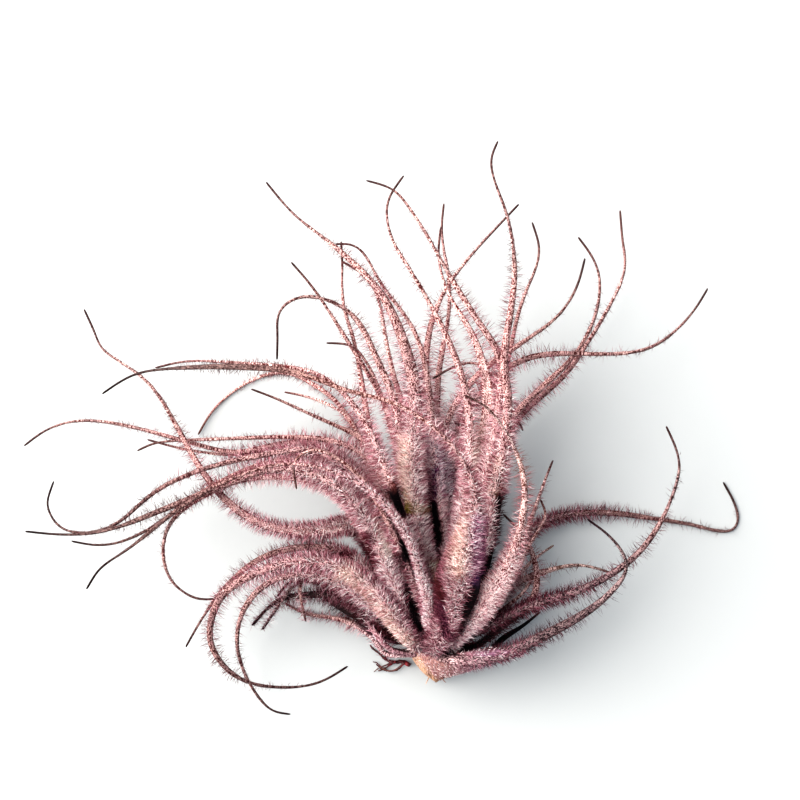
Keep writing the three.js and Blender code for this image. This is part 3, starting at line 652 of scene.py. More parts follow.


# painted shade in the deep gaps between the leaves, and then spots of colour
patches = [
    patch((9, 23, 42, 47), (396, 492), (403, 510), 9, paintedGapShade, 0, 0.1),
    patch((48, 49, 53), (402, 530), (407, 556), 5, paintedGapShade, 0.1, 0.2),
    patch((49, 53), (402, 556), (410, 590), 4, paintedGapShade, 0.15, 0.3),
    patch((48, 49, 53), (408, 590), (418, 628), 7, paintedGapShade, 0, 0.1),
    patch((21, 22, 26, 42), (434, 470), (433, 506), 4, paint(70, 30, 60), 0.4),
    patch((13, 22, 26), (434, 506), (438, 542), 5, paintedGapShade, 0, 0.1),
    patch((26, 42, 56), (435, 546), (439, 560), 4, paintedGapShade, 0.1, 0.2),
    patch((42, 56), (442, 584), (444, 600), 4, paint(80, 28, 24), 0.3),
    patch((54, 56), (441, 606), (447, 636), 4, paint(72, 26, 60), 0.4),
    patch((46,), (499, 495), (497, 548), 4, paintedGapShade, 0.1, 0.3),
    patch((46,), (504, 505), (501, 575), 4, paintedGapShade, 0, 0.1),
    patch((46, 56), (496, 552), (478, 588), 8, paintedGapShade, 0, 0.1),
    patch((56,), (476, 588), (460, 640), 8, paintedGapShade, 0, 0.1),
    # painted shade on the low leaves in the shadow at the lower right
    patch((5, 6, 36, 37, 38, 40, 51), (528, 622), (466, 652), 11, paint(18, 20, 26), 0.1, 0.4),
    patch((10, 27, 31), (358, 618), (408, 652), 7, paint(60, 14, 20), 0.25, 0.5),
    patch((7, 10, 29), (362, 630), (412, 662), 7, paint(186, 138, 150), 1, 0.4, soft=True),
    patch((18, 33, 49), (368, 538), (376, 572), 5, paint(70, 26, 30), 0.3),
    patch((33,), (270, 562), (350, 556), 5, paint(84, 34, 44), 0.5),
    # the violet patches are painted shade, the cream ones painted highlights on pale hair
    patch((21, 22, 26), (437, 440), (446, 490), 10, paintedShadeViolet, 1.1, soft=True),
    patch((56,), (478, 520), (474, 580), 6, paintedShadeViolet, 0.85, soft=True),
    patch((56,), (462, 514), (458, 572), 7, creamHighlight, 1.25, soft=True),
    patch((43, 44), (481, 426), (476, 468), 6, creamHighlight, 1.25, soft=True),
    patch((42,), (402, 440), (408, 500), 7, creamHighlight, 1.2, soft=True),
    patch((35, 49), (373, 500), (388, 554), 5, creamHighlight, 1.5, soft=True),
    patch((50,), (345, 574), (405, 645), 8, creamHighlight, 1.1, soft=True),
    patch((42,), (409, 508), (424, 512), 5, paint(150, 140, 60), 0.8, 0.6),
    patch((42, 56), (433, 566), (434, 578), 5, paint(164, 150, 86), 0.8, 0.6),
    patch((46,), (498, 460), (493, 492), 6, paint(116, 84, 58), 0.6, soft=True),
    patch((47,), (384, 472), (394, 484), 6, paint(190, 120, 112), 0.9, soft=True),
    patch((55,), (519, 450), (524, 482), 4, paint(170, 118, 80), 0.9, soft=True),
    patch((27, 31, 32, 50), (400, 652), (416, 668), 4, paint(176, 104, 60), 0.5, 0.3),
]


patchRule = {
    "grain": 900,  # how fine and how deep the ragged edge of a patch is
    "ragged": 0.5,
    "edge": (0.6, 1.3),  # shares of the half width over which a patch fades
    "softEdge": (0, 1.8),
    "softShare": 0.8,
    "deepTone": 0.6,  # a patch with a darker tone hides the pale scales too
}


# the patches that reach a spot of a leaf, and how much
def patchWeights(number, place):
    pixel = pixelOf(place)
    for patch in patches:
        if number in patch["leaves"]:
            start, end = patch["from"], patch["to"]
            share = min(max((pixel - start).dot(end - start) / (end - start).length_squared, 0), 1)
            distance = (pixel - start.lerp(end, share)).length / patch["half"]
            distance += noise.noise(place * patchRule["grain"]) * patchRule["ragged"]
            edge = patchRule["softEdge"] if patch["soft"] else patchRule["edge"]
            weight = 1 - smoothRise(*edge, distance)
            if weight > 0:
                yield patch, weight * (patchRule["softShare"] if patch["soft"] else 1)


def toneAt(stops, along):
    color = Vector(stops[0][1])
    for (low, first), (high, second) in zip(stops, stops[1:]):
        color = color.lerp(Vector(second), smoothRise(low, high, along))
    return color


dressRule = {
    "lightStops": (0.15, 0.45, 0.8),  # the shares of the leaf that a leaf's three lights stand for
    "lightPower": 1.6,
    "brightness": (0.85, 1.12),
    "warmth": 0.05,
    "outerStops": (0.2, 0.6),
    "outerToneStops": (0.4, 0.75),
    "outerLoss": 0.6,
    "hairBright": 0.5,
    "fringeRise": 2.2,
    "shortensOver": 0.1,
}


# what a blade's skin and hairs look like at each of its corners
def dressBlade(blade, route, length, number):
    mesh = blade.data
    notes = leafNotes.get(number, {})
    stops = leafTones[notes.get("tone", "pink")]
    light = list(zip(dressRule["lightStops"], paintedLeafLights.get(number, (1, 1, 1))))
    draw = random.Random(number)
    bright = draw.uniform(*dressRule["brightness"])
    warm = draw.uniform(-dressRule["warmth"], dressRule["warmth"])
    leafTint = Vector((bright * (1 + warm), bright, bright * (1 - warm), 1))
    bareFrom = notes.get("bareFrom", fuzzRule["bareFrom"])
    bareTo = bareFrom + fuzzRule["bareTo"] - fuzzRule["bareFrom"]
    ownBright = dressRule["hairBright"] + dressRule["hairBright"] * bright
    names = (
        "skinColor", "bladePlace", "openness", "paleness", "tipward", "outward", "fuzz", "hairLength",
        "hairGirth", "hairTone",
    )
    values = {name: [] for name in names}
    for index, vertex in enumerate(mesh.vertices):
        along = mesh.attributes["alongLeaf"].data[index].value
        across = mesh.attributes["acrossLeaf"].data[index].value
        station = stationAt(route, along)
        free = 1 - (1 - openness(vertex.co, vertex.normal)) * leafShelters.get(number, 1)
        outer = smoothRise(*dressRule["outerStops"], along)
        lit = readStops(light, along)
        # the leaf's own tone, brightened or darkened by its painted light and shade
        color = toneAt(stops, along) * leafTint * lit ** dressRule["lightPower"]
        lean = fuzzRule["lean"] + (fuzzRule["outerLean"] - fuzzRule["lean"]) * outer
        away = (vertex.co - station["middle"]).normalized()
        amount = 1 + (notes.get("outerFuzz", fuzzRule["outerShare"]) - 1) * outer
        edgePull = dressRule["fringeRise"] * across**2 - 1
        amount *= notes.get("amount", 1) * (1 + outer * fuzzRule["fringe"] * edgePull)
        amount *= shelterRule["hairShare"] + (1 - shelterRule["hairShare"]) * free
        amount *= smoothRise(0, notes.get("bareBase", 0.001), along)
        amount *= 1 - smoothRise(bareFrom, bareTo, along)
        grown = 1 + (fuzzRule["outerLength"] - 1) * outer
        shortFrom = bareFrom - dressRule["shortensOver"]
        grown *= 1 - dressRule["outerLoss"] * smoothRise(shortFrom, bareTo, along)
        outerTone = notes.get("outerTone", fuzzRule["outerTone"])
        tone = 1 + (outerTone - 1) * smoothRise(*dressRule["outerToneStops"], along)
        # painted shade on the hairs where the other leaves shelter them
        tone *= shelterRule["hairShade"] + (1 - shelterRule["hairShade"]) * free
        # painted highlight along the middle of the blade and painted shade towards its edges
        ridge = fuzzRule["ridgeLight"] - fuzzRule["edgeShade"] * across**2
        # the hairs take the leaf's painted light and shade too
        tone *= lit * notes.get("hairTone", 1) * ownBright * ridge
        # the pale scales show more where the leaf is painted lighter
        pale = (1 - leafSkin["outerPaleLoss"] * outer) * (1 - smoothRise(leafSkin["paleEnds"], 1, along))
        pale = pale * leafSkin["paleShare"] * lit ** leafSkin["palePower"] * notes.get("pale", 1)
        for patch, weight in patchWeights(number, vertex.co):
            color = color.lerp(patch["color"], weight)
            tone *= 1 + (patch["tone"] - 1) * weight
            amount *= 1 + (patch["fuzz"] - 1) * weight
            if patch["tone"] < patchRule["deepTone"]:
                pale *= 1 - weight
        found = (
            color, (across * station["half"], along * length, number * 0.01), free, pale,
            station["ahead"] * lean, away * fuzzRule["lift"] + station["side"] * across * fuzzRule["aside"],
            amount, grown * notes.get("hairLength", 1), 1 + (fuzzRule["outerGirth"] - 1) * outer, tone,
        )
        for name, value in zip(names, found):
            values[name].append(value)
    storeValues(mesh, values)


fuzzRule = {
    "perSquareMetre": 37000000,
    "outerShare": 0.135,
    "outerTone": 0.3,
    # painted highlight along the middle of each blade and painted shade at its edges, on the hairs' tone
    "ridgeLight": 1.22,
    "edgeShade": 0.68,
    "outerLength": 1.3,
    "outerGirth": 0.7,
    "fringe": 0.8,  # how far the outer hairs keep to the edges
    "bareFrom": 0.76,
    "bareTo": 0.97,
    "length": 0.00145,
    "thick": 0.00011,
    "bends": (0.08, 0.16),  # shares of the length
    "lean": 0.58,  # towards the tip of the leaf
    "outerLean": 0.06,
    "aside": 0.8,  # towards the nearer edge of the blade
    "lift": 0.24,  # away from the middle of the blade
    "wild": 0.5,
    "shortest": 0.45,
    "longest": 1.15,
    "thinnest": 0.75,
    "thickest": 1.15,
    "darkest": 0.05,
    "lightest": 1.2,
    "floorGap": 0.00004,
    "root": 0.08,  # the share of its length that a hair is sunk into the skin
    "bendAt": 0.3,
}


# two straight hairs and two bent ones, each a fine three-sided spike
def makeHairs():
    shapes = bpy.data.collections.new("hairShapes")
    bpy.context.scene.collection.children.link(shapes)
    length = fuzzRule["length"]
    for bend in (0, 0, *fuzzRule["bends"]):
        low = length * (fuzzRule["bendAt"] if bend else -fuzzRule["root"])
        bpy.ops.mesh.primitive_cone_add(
            vertices=3, radius1=fuzzRule["thick"] / 2, radius2=0, depth=length - low,
            location=(bend * length, 0, (length + low) / 2), end_fill_type="TRIFAN" if bend else "NGON",
        )
        hair = bpy.context.active_object
        bpy.ops.object.transform_apply(location=True, rotation=False, scale=False)
        if bend:
            corners = hair.data.vertices
            base = min(corners, key=lambda corner: (corner.co.z, abs(corner.co.x - bend * length)))
            base.co = (0, 0, -fuzzRule["root"] * length)
            max(corners, key=lambda corner: corner.co.z).co.x = 0
        hair.data.materials.append(hairMaterial)
        for collection in hair.users_collection:
            collection.objects.unlink(hair)
        shapes.objects.link(hair)
    return shapes


# the tree that scatters the hairs by the values kept on a blade
def makeFuzzNodes(shapes):
    tree = bpy.data.node_groups.new("scatterHair", "GeometryNodeTree")
    tree.interface.new_socket("Geometry", in_out="INPUT", socket_type="NodeSocketGeometry")
    tree.interface.new_socket("Seed", in_out="INPUT", socket_type="NodeSocketInt")
    tree.interface.new_socket("Geometry", in_out="OUTPUT", socket_type="NodeSocketGeometry")
    start = tree.nodes.new("NodeGroupInput")
    mesh, seed = start.outputs["Geometry"], start.outputs["Seed"]

    def readAttribute(name, kind="FLOAT"):
        node = "GeometryNodeInputNamedAttribute"
        return addNode(tree, node, {"Name": name}, "Attribute", data_type=kind)

    def compute(operation, *numbers):
        return addNode(tree, "ShaderNodeMath", dict(enumerate(numbers)), operation=operation)

    def computeVector(operation, inputs):
        return addNode(tree, "ShaderNodeVectorMath", inputs, "Vector", operation=operation)

    def joinNumbers(*numbers):
        return addNode(tree, "ShaderNodeCombineXYZ", dict(enumerate(numbers)))

    def randomNumber(low, high, offset, kind="FLOAT"):
        lowest, highest, found = {"FLOAT_VECTOR": (0, 1, 0), "FLOAT": (2, 3, 1), "INT": (4, 5, 2)}[kind]
        inputs = {lowest: low, highest: high, "Seed": compute("ADD", seed, offset)}
        return addNode(tree, "FunctionNodeRandomValue", inputs, found, data_type=kind)

    density = compute("MULTIPLY", readAttribute("fuzz"), fuzzRule["perSquareMetre"])
    scatter = {"Mesh": mesh, "Density": density, "Seed": seed}
    points = addNode(tree, "GeometryNodeDistributePointsOnFaces", scatter, "Points")
    ownLight = randomNumber(fuzzRule["darkest"], fuzzRule["lightest"], 2000)
    light = compute("MULTIPLY", ownLight, readAttribute("hairTone"))
    tint = {"Geometry": points, "Name": "hairTint", "Value": light}
    tinted = addNode(tree, "GeometryNodeStoreNamedAttribute", tint, data_type="FLOAT")

    anywhere = randomNumber((-1, -1, -1), (1, 1, 1), 0, "FLOAT_VECTOR")
    wild = computeVector("SCALE", {0: anywhere, "Scale": fuzzRule["wild"]})
    tipward = readAttribute("tipward", "FLOAT_VECTOR")
    leaning = computeVector("ADD", {0: tipward, 1: readAttribute("outward", "FLOAT_VECTOR")})
    ahead = {"Vector": computeVector("ADD", {0: leaning, 1: wild})}
    aim = addNode(tree, "FunctionNodeAlignRotationToVector", ahead, axis="Z")
    spin = {"Axis": (0, 0, 1), "Angle": randomNumber(0, 2 * math.pi, 1000)}
    turn = {"Rotation": aim, "Rotate By": addNode(tree, "FunctionNodeAxisAngleToRotation", spin)}
    turned = addNode(tree, "FunctionNodeRotateRotation", turn, rotation_space="LOCAL")

    ownLength = randomNumber(fuzzRule["shortest"], fuzzRule["longest"], 4000)
    grown = compute("MULTIPLY", ownLength, readAttribute("hairLength"))
    ownGirth = randomNumber(fuzzRule["thinnest"], fuzzRule["thickest"], 5000)
    girth = compute("MULTIPLY", ownGirth, readAttribute("hairGirth"))
    kinds = {"Collection": shapes, "Separate Children": True}
    hairs = {
        "Points": tinted,
        "Instance": addNode(tree, "GeometryNodeCollectionInfo", kinds, "Instances"),
        "Pick Instance": True,
        "Instance Index": randomNumber(0, len(fuzzRule["bends"]) + 1, 3000, "INT"),
        "Rotation": turned,
        "Scale": joinNumbers(girth, girth, grown),
    }
    placed = addNode(tree, "GeometryNodeInstanceOnPoints", hairs, "Instances")
    real = addNode(tree, "GeometryNodeRealizeInstances", {"Geometry": placed})

    # no hair goes under the floor
    spot = {"Vector": addNode(tree, "GeometryNodeInputPosition", {})}
    x, y, z = addNode(tree, "ShaderNodeSeparateXYZ", spot).node.outputs
    lifted = compute("SMOOTH_MAX", z, fuzzRule["floorGap"], fuzzRule["floorGap"] * 2)
    settled = {"Geometry": real, "Position": joinNumbers(x, y, lifted)}
    end = tree.nodes.new("NodeGroupOutput")
    tree.links.new(addNode(tree, "GeometryNodeSetPosition", settled), end.inputs["Geometry"])
    return tree


hairShapes = makeHairs()
fuzzNodes = makeFuzzNodes(hairShapes)


def makeFuzz(ground, name, seed):
    fuzz = ground.copy()
    fuzz.data = ground.data.copy()
    fuzz.name = name
    bpy.context.collection.objects.link(fuzz)
    scatter = fuzz.modifiers.new("fuzz", "NODES")
    scatter.node_group = fuzzNodes
    scatter["Socket_1"] = seed
    applyModifiers(fuzz)
    fuzz.data.materials.clear()
    fuzz.data.materials.append(hairMaterial)
    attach(fuzz, "root")
    return fuzz


hairFaces = 0
for node in leafNodes:
    number = int(node.split("_")[1])
    route, length = readRoute(node, number)
    blade = makeBlade(route, length, number)
    dressBlade(blade, route, length, number)
    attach(blade, "root")
    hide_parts(node)
    hairFaces += len(makeFuzz(blade, "fuzz_%02d" % number, number).data.polygons)
print("leaves made, with", hairFaces, "hair faces")

# the foot: a ribbed core in dry, wrapping sheaths with torn edges; metres, and shares without a unit
footShape = {
    "coreSegments": 32,
    "coreRings": 24,
    "coreShare": 0.97,
    "ridges": 0.05,
    "ridgeCount": 11,
    "ridgeTurn": 700,
    "lumps": 6,
    "gap": 0.00035,
    "flare": 0.0007,
    "wall": 0.00016,
    "columns": 22,
    "rows": 12,
    "torn": 0.0007,
    "tornShare": 0.6,
    "lobeWidth": 50,  # degrees round the stem
    "lobe": (0.62, 0.38),
    "taperEnds": 0.22,
    "narrowed": (0.35, 0.65),
    "strands": 9,
    "strandReach": (0.0006, 0.0013),
    "strandStart": (0.0006, 0.002),
    "strandMiddle": 0.003,
    "lowestEnd": 0.0003,
    "fibre": 0.0001,
    "tipColor": paint(134, 84, 56),
    "skinColor": paint(172, 132, 124),
    "rightColor": paint(144, 106, 126),
    # painted highlight along the front sheath's left edge
    "leftEdgeHighlight": paint(196, 160, 130),
    "grooveColor": paint(60, 30, 30),
    # where the colours change, in pixels of the picture or metres from the stem's foot
    "rightColumns": (440, 486),
    "tipEnds": (0.0004, 0.0026),
    "leftEdge": (412, 655),
    "leftSlope": 0.75,
    "leftFade": (3, 9),
    "groove": (450, 656),
    "grooveSlope": 0.1,
    "grooveColumns": (424, 440),
    "warps": (14, 0.002, 6, 3),
}
# each sheath: the degrees round the stem that it spans, from the top clockwise, and how far up it goes
sheaths = [
    {"from": 100, "to": 262, "low": 0.0012, "high": 0.0085, "gap": 0.2, "peak": 180, "seed": 1},
    {"from": 30, "to": 150, "low": 0.0006, "high": 0.0082, "gap": 0.75, "peak": 84, "seed": 2},
    {"from": 205, "to": 330, "low": 0.0008, "high": 0.0072, "gap": 0.6, "peak": 282, "seed": 3},
]
# the front sheath, which runs out into the lowest leaf on the right: rows from its left edge to its
# right one, as pixels of the picture, with their heights and how far the row bulges, in millimetres
frontRows = [
    {"left": (433, 678.5), "right": (439, 679), "heights": (1.7, 1.7), "bulge": 0.5},
    {"left": (428, 675), "right": (446, 677), "heights": (1.8, 2.0), "bulge": 1.8},
    {"left": (417, 665), "right": (460, 673.5), "heights": (2.6, 3.2), "bulge": 3.4},
    {"left": (412, 655), "right": (474, 669), "heights": (4.6, 5.4), "bulge": 3.4},
    {"left": (425, 652), "right": (488, 664.5), "heights": (8.0, 8.2), "bulge": 2.2},
    {"left": (448, 654), "right": (501, 661), "heights": (11.2, 10.6), "bulge": 1.6},
    {"left": (470, 651), "right": (513, 657.5), "heights": (13.0, 12.0), "bulge": 1.1},
    {"left": (492, 648), "right": (526, 653), "heights": (13.6, 12.8), "bulge": 0.5},
]
frontShape = {
    "columns": 26,
    "rows": 24,
    "ripple": 0.0004,
    "wall": 0.0003,
    "ahead": Vector((1, 0.1, 0.25)).normalized(),
    "lean": 0.6,
    "lift": 0.3,
    "upward": (0.1, 0.5),
    "rightColumns": (424, 500),
    "fuzz": (0.4, 0.3),
    "hairLength": (0.36, 0.2),
    "hairTone": 0.8,
    "seed": 77,
}


# how thick the stem's solid is at its rings
def readProfile():
    rings = {}
    for vertex in frame["nodes"]["stem"].data.vertices:
        along = (vertex.co - stemFoot).dot(stemAxis)
        rings[round(along, 4)] = (vertex.co - stemFoot - stemAxis * along).length
    return sorted(rings.items())


stemProfile = readProfile()


# a place on the stem's skin, or out from it, at an angle from the top and a way along the axis
def stemPlace(angle, along, out=0):
    radius = stemProfile[-1][1]
    for (low, first), (high, second) in zip(stemProfile, stemProfile[1:]):
        if along < high:
            radius = first + (second - first) * max((along - low) / (high - low), 0)
            break
    radius += out
    away = Vector((1, 0, 0)) * math.sin(angle) + stemUp * math.cos(angle)
    return stemFoot + stemAxis * along + away * radius


def makeCore():
    segments, rings = footShape["coreSegments"], footShape["coreRings"]
    bpy.ops.mesh.primitive_uv_sphere_add(segments=segments, ring_count=rings, radius=1)
    core = bpy.context.active_object
    length = stemProfile[-1][0]
    for vertex in core.data.vertices:
        vertex.co.normalize()
        along = math.acos(min(max(-vertex.co.z, -1), 1)) / math.pi * length
        angle = math.atan2(vertex.co.x, vertex.co.y)
        ridge = math.sin(footShape["ridgeCount"] * angle + along * footShape["ridgeTurn"])
        swell = 1 + footShape["ridges"] * (ridge + noise.noise(vertex.co * footShape["lumps"]))
        middle = stemFoot + stemAxis * along
        vertex.co = middle + (stemPlace(angle, along) - middle) * swell * footShape["coreShare"]
    return core


def makeSheath(sheath):
    columns, rows = footShape["columns"], footShape["rows"]
    bpy.ops.mesh.primitive_grid_add(x_subdivisions=columns, y_subdivisions=rows, size=2)
    piece = bpy.context.active_object
    draw = random.Random(sheath["seed"])
    tears = [draw.uniform(-1, 1) for column in range(columns + 1)]
    (lobeLow, lobeRise), (edgeShare, middleShare) = footShape["lobe"], footShape["narrowed"]
    for vertex in piece.data.vertices:
        across, share = (vertex.co.x + 1) / 2, (vertex.co.y + 1) / 2
        degrees = sheath["from"] + (sheath["to"] - sheath["from"]) * across
        lobe = math.exp(-(((degrees - sheath["peak"]) / footShape["lobeWidth"]) ** 2))
        torn = footShape["torn"] * tears[round(across * columns)] * footShape["tornShare"]
        high = sheath["high"] * (lobeLow + lobeRise * lobe) + torn
        along = sheath["low"] + (high - sheath["low"]) * share
        taper = smoothRise(0, footShape["taperEnds"], share)
        out = footShape["gap"] * sheath["gap"] * taper + footShape["flare"] * share**3 * (0.4 + lobe)
        out *= edgeShare + middleShare * math.sin(math.pi * across) ** 0.5
        vertex.co = stemPlace(math.radians(degrees), along, out)
    makeWall(piece, footShape["wall"])
    return piece


strandShape = {"steps": 5, "bends": 1500, "bendShare": 0.12, "swells": 2600, "swellShare": 0.22}


# a tapered strand through some places
def makeStrand(places, thick, thin):
    curve = bpy.data.curves.new("strand", "CURVE")
    curve.dimensions = "3D"
    spline = curve.splines.new("POLY")
    steps = strandShape["steps"] * (len(places) - 1)
    spline.points.add(steps)
    for step, point in enumerate(spline.points):
        place = splinePoint(places, step / strandShape["steps"])
        place += noise.noise_vector(place * strandShape["bends"]) * strandShape["bendShare"] * thick
        point.co = (*place, 1)
        swell = 1 + strandShape["swellShare"] * noise.noise(place * strandShape["swells"])
        point.radius = (thick + (thin - thick) * step / steps) * swell / thick
    curve.bevel_depth = thick / 2
    curve.bevel_resolution = 1
    curve.use_fill_caps = True
    strand = bpy.data.objects.new("strand", curve)
    bpy.context.collection.objects.link(strand)
    pickOnly(strand)
    bpy.ops.object.convert(target="MESH")
    return bpy.context.active_object


def joinPieces(pieces, name):
    bpy.ops.object.select_all(action="DESELECT")
    for piece in pieces:
        piece.select_set(True)
    bpy.context.view_layer.objects.active = pieces[0]
    bpy.ops.object.join()
    whole = bpy.context.active_object
    whole.name = name
    bpy.ops.object.shade_smooth()
    settle(whole)
    return whole


dryFinish = {
    "detail": 5,
    "fineness": 0.7,
    "streaks": [(0.34, (0.35, 0.26, 0.26, 1)), (0.5, (0.9, 0.86, 0.86, 1)), (0.64, (1.4, 1.36, 1.32, 1))],
    "bumpHeight": 0.00009,
}


def makeDryMaterial(name, stretch, roughness):
    material, tree = makeMaterial(name)
    place = addNode(tree, "ShaderNodeTexCoord", {}, "Object")
    turn = {"Vector": place, "Rotation": (-stemTilt, 0, 0), "Scale": stretch}
    turned = addNode(tree, "ShaderNodeMapping", turn)
    fibres = addNoise(tree, turned, 1, dryFinish["detail"], dryFinish["fineness"])
    streaks = addRamp(tree, fibres, dryFinish["streaks"])
    color = mixColors(tree, 1.0, readValue(tree, "skinColor", "Color"), streaks, "MULTIPLY")
    return finishMaterial(material, color, {**dryFinish, "roughness": roughness}, fibres)


def makeFrontSheath():
    columns, rows = frontShape["columns"], frontShape["rows"]
    bpy.ops.mesh.primitive_grid_add(x_subdivisions=columns, y_subdivisions=rows, size=2)
    front = bpy.context.active_object
    lefts = [fromPixel(row["left"], row["heights"][0] / 1000) for row in frontRows]
    rights = [fromPixel(row["right"], row["heights"][1] / 1000) for row in frontRows]
    bulges = [row["bulge"] / 1000 for row in frontRows]
    for vertex in front.data.vertices:
        across, row = vertex.co.x, (vertex.co.y + 1) / 2 * (len(frontRows) - 1)
        left, right = splinePoint(lefts, row), splinePoint(rights, row)
        place = left.lerp(right, (across + 1) / 2)
        place.z += splinePoint(bulges, row) * (1 - across**2) ** 0.7
        ripple = noise.noise(Vector((across * 5, row * 0.7, 3)))
        ripple = ripple + 0.5 * noise.noise(Vector((across * 16, row * 1.2, 9)))
        place.z += frontShape["ripple"] * ripple * (1 - across**4)
        vertex.co = place
    makeWall(front, frontShape["wall"])
    mesh = front.data
    places = [vertex.co.copy() for vertex in mesh.vertices]
    normals = [vertex.normal.copy() for vertex in mesh.vertices]
    upward = [smoothRise(*frontShape["upward"], normal.z) for normal in normals]
    right = [smoothRise(*frontShape["rightColumns"], pixelOf(place).x) for place in places]
    (leftFuzz, moreFuzz), (leftLength, moreLength) = frontShape["fuzz"], frontShape["hairLength"]
    values = {
        "skinColor": [footColor(place) for place in places],
        "tipward": [frontShape["ahead"] * frontShape["lean"] for place in places],
        "outward": [normal * frontShape["lift"] for normal in normals],
        "fuzz": [up * (leftFuzz + moreFuzz * far) for up, far in zip(upward, right)],
        "hairLength": [leftLength + moreLength * far for far in right],
        "hairGirth": [1 for place in places],
        "hairTone": [frontShape["hairTone"] for place in places],
    }
    storeValues(mesh, values)
    makeFuzz(front, "fuzz_foot", frontShape["seed"])
    for name in values:
        mesh.attributes.remove(mesh.attributes[name])
    return front


def footColor(place):
    pixel = pixelOf(place)
    along = (place - stemFoot).dot(stemAxis)
    warp = noise.noise(place * 700) * 0.4
    rightWarp, tipWarp, leftWarp, grooveWarp = [warp * share for share in footShape["warps"]]
    right = smoothRise(*footShape["rightColumns"], pixel.x + rightWarp)
    color = Vector(footShape["skinColor"]).lerp(Vector(footShape["rightColor"]), right)
    tip = 1 - smoothRise(*footShape["tipEnds"], along + tipWarp)
    color = color.lerp(Vector(footShape["tipColor"]), tip)
    # painted highlight along the left edge, which faces the light
    column, row = footShape["leftEdge"]
    inward = pixel.x - column - max(pixel.y - row, 0) * footShape["leftSlope"] + leftWarp
    left = 1 - smoothRise(*footShape["leftFade"], inward)
    color = color.lerp(Vector(footShape["leftEdgeHighlight"]), left * 0.85)
    column, row = footShape["groove"]
    above = row - footShape["grooveSlope"] * (pixel.x - column) - pixel.y + grooveWarp
    top = smoothRise(0, 4, above) * smoothRise(*footShape["grooveColumns"], pixel.x)
    return color.lerp(Vector(footShape["grooveColor"]), top)


def placeStrands(draw):
    strands = []
    for turn in range(footShape["strands"]):
        angle = draw.uniform(0, 2 * math.pi)
        reach = draw.uniform(*footShape["strandReach"])
        start = stemPlace(angle, draw.uniform(*footShape["strandStart"]))
        away = (start - stemFoot - stemAxis * footShape["strandMiddle"]).normalized()
        aside = Vector((draw.uniform(-1, 1), draw.uniform(-0.6, 0.2), draw.uniform(-0.1, 0.3)))
        middle = start + away * reach * 0.5 + aside * reach * 0.2
        end = start + (away + aside * 0.7).normalized() * reach
        end.z = max(end.z, footShape["lowestEnd"])
        strands.append(makeStrand([start, middle, end], footShape["fibre"] * 2, footShape["fibre"] * 0.6))
    return strands


def makeFoot():
    pieces = [makeCore(), *map(makeSheath, sheaths), makeFrontSheath()]
    foot = joinPieces([*pieces, *placeStrands(random.Random(17))], "foot")
    storeValues(foot.data, {"skinColor": [footColor(vertex.co) for vertex in foot.data.vertices]})
    foot.data.materials.clear()
    foot.data.materials.append(makeDryMaterial("drySheath", (5200, 900, 2400), 0.62))
    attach(foot, "root")
    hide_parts("stem")


rootShape = {
    "shrink": -0.00010,
    "knots": 0.00016,
    "height": 0.0011,
    "drop": 0.0002,  # from one point of a side root to the next
    "dark": paint(70, 12, 18),
    # the red of the painted highlights
    "bright": paint(140, 26, 38),
    "thin": paint(96, 62, 52),
    "thickStart": (411, 664),
    "thinEnd": 0.45,
    "darkWithin": (14, 32),  # pixels from the thick start
    "thinRows": (664, 670),
    # painted highlights: where bright red spots show by noise
    "paintedShine": (0.05, 0.5),
    # the finer side roots, each through pixels of the picture
    "side": [
        {"through": [(373, 649), (370, 645)], "thick": 0.00045},
        {"through": [(381, 655), (385, 652), (391, 651)], "thick": 0.00035},
        {"through": [(385, 658), (388, 654), (394, 653), (398, 655)], "thick": 0.0003},
        {"through": [(392, 662), (386, 665), (379, 668), (374, 672)], "thick": 0.0003},
        {"through": [(400, 667), (392, 671), (384, 669), (377, 663), (373, 662)], "thick": 0.0003},
    ],
}


def rootColor(place):
    pixel = pixelOf(place)
    far = smoothRise(*rootShape["darkWithin"], (pixel - Vector(rootShape["thickStart"])).length)
    # painted highlights: bright red spots near the thick start
    paintedShine = smoothRise(*rootShape["paintedShine"], noise.noise(place * 900)) * (1 - far)
    color = Vector(rootShape["dark"]).lerp(Vector(rootShape["bright"]), paintedShine)
    thin = smoothRise(*rootShape["thinRows"], pixel.y + 3 * noise.noise(place * 1200))
    return color.lerp(Vector(rootShape["thin"]), thin * 0.8)


def makeRoots():
    thick = copyNode("roots", "thickRoots")
    bpy.ops.object.mode_set(mode="EDIT")
    bpy.ops.transform.shrink_fatten(value=rootShape["shrink"])
    bpy.ops.object.mode_set(mode="OBJECT")
    fine = thick.modifiers.new("fine", "SUBSURF")
    fine.levels = fine.render_levels = 2
    applyModifiers(thick)
    for vertex in thick.data.vertices:
        knot = noise.noise(vertex.co * 1900) + 0.5 * noise.noise(vertex.co * 5200)
        vertex.co += vertex.normal * knot * rootShape["knots"]
    pieces = [thick]
    for side in rootShape["side"]:
        heights = [rootShape["height"] - rootShape["drop"] * index for index in range(len(side["through"]))]
        places = [fromPixel(pixel, height) for pixel, height in zip(side["through"], heights)]
        pieces.append(makeStrand(places, side["thick"], side["thick"] * rootShape["thinEnd"]))
    roots = joinPieces(pieces, "dryRoots")
    storeValues(roots.data, {"skinColor": [rootColor(vertex.co) for vertex in roots.data.vertices]})
    roots.data.materials.clear()
    roots.data.materials.append(makeDryMaterial("dryRoot", (2600, 2600, 2600), 0.5))
    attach(roots, "root")
    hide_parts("roots")


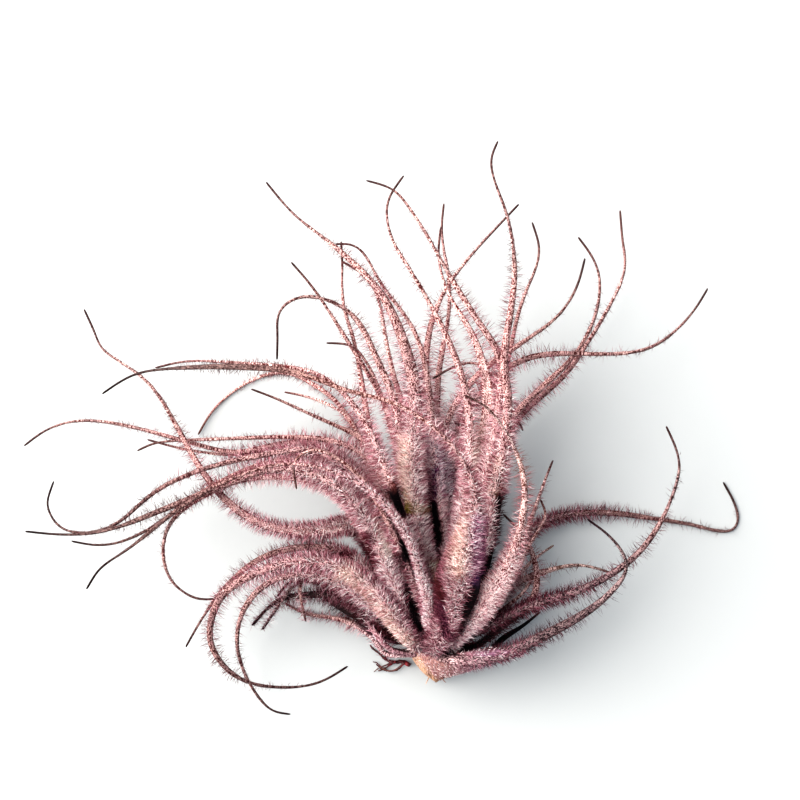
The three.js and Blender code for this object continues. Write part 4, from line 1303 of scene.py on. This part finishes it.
makeFoot()
makeRoots()
for hair in list(hairShapes.objects):
    bpy.data.objects.remove(hair)
bpy.data.collections.remove(hairShapes)
print("foot and roots made")

studio = {
    "floorSize": 3,
    "floorLevel": -0.00002,
    "paper": (0.345, 0.349, 0.335, 1),
    # painted light: the paper glows faintly, which lifts its shadows
    "paperPaintedFill": (0.84, 0.92, 1, 1),
    "paperPaintedFillStrength": 0.095,
    "paperRoughness": 0.9,
    "air": (0.78, 0.86, 1, 1),
    "airStrength": 0.4,
    "windowSize": 1.4,
    "windowEnergy": 39,
    "windowColor": (1, 0.98, 0.97),
    "windowPlace": (-0.6, 0.34, 0.66),
    "windowAim": (0, 0.03, 0),
}

camera = bpy.data.objects.new("camera", bpy.data.cameras.new("camera"))
bpy.context.collection.objects.link(camera)
camera.location = (*view["middle"], view["height"])
camera.data.angle = 2 * math.atan(view["width"] / 2 / view["height"])
bpy.context.scene.camera = camera

bpy.ops.mesh.primitive_plane_add(size=studio["floorSize"], location=(0, 0, studio["floorLevel"]))
floor = bpy.context.active_object
floor.name = "floor"
floorMaterial, floorTree = makeMaterial("paper")
sockets = floorTree.nodes["Principled BSDF"].inputs
sockets["Base Color"].default_value = studio["paper"]
sockets["Roughness"].default_value = studio["paperRoughness"]
# painted light: the paper's faint glow
sockets["Emission Color"].default_value = studio["paperPaintedFill"]
sockets["Emission Strength"].default_value = studio["paperPaintedFillStrength"]
floor.data.materials.append(floorMaterial)

world = bpy.data.worlds.new("studio")
bpy.context.scene.world = world
world.use_nodes = True
sockets = world.node_tree.nodes["Background"].inputs
sockets["Color"].default_value = studio["air"]
sockets["Strength"].default_value = studio["airStrength"]

lamp = bpy.data.objects.new("window", bpy.data.lights.new("window", "AREA"))
bpy.context.collection.objects.link(lamp)
lamp.data.shape = "SQUARE"
lamp.data.size = studio["windowSize"]
lamp.data.energy = studio["windowEnergy"]
lamp.data.color = studio["windowColor"]
lamp.location = studio["windowPlace"]
aim = Vector(studio["windowAim"]) - lamp.location
lamp.rotation_euler = aim.to_track_quat("-Z", "Y").to_euler()

bpy.context.scene.view_settings.view_transform = "Standard"
bpy.context.scene.view_settings.look = "High Contrast"
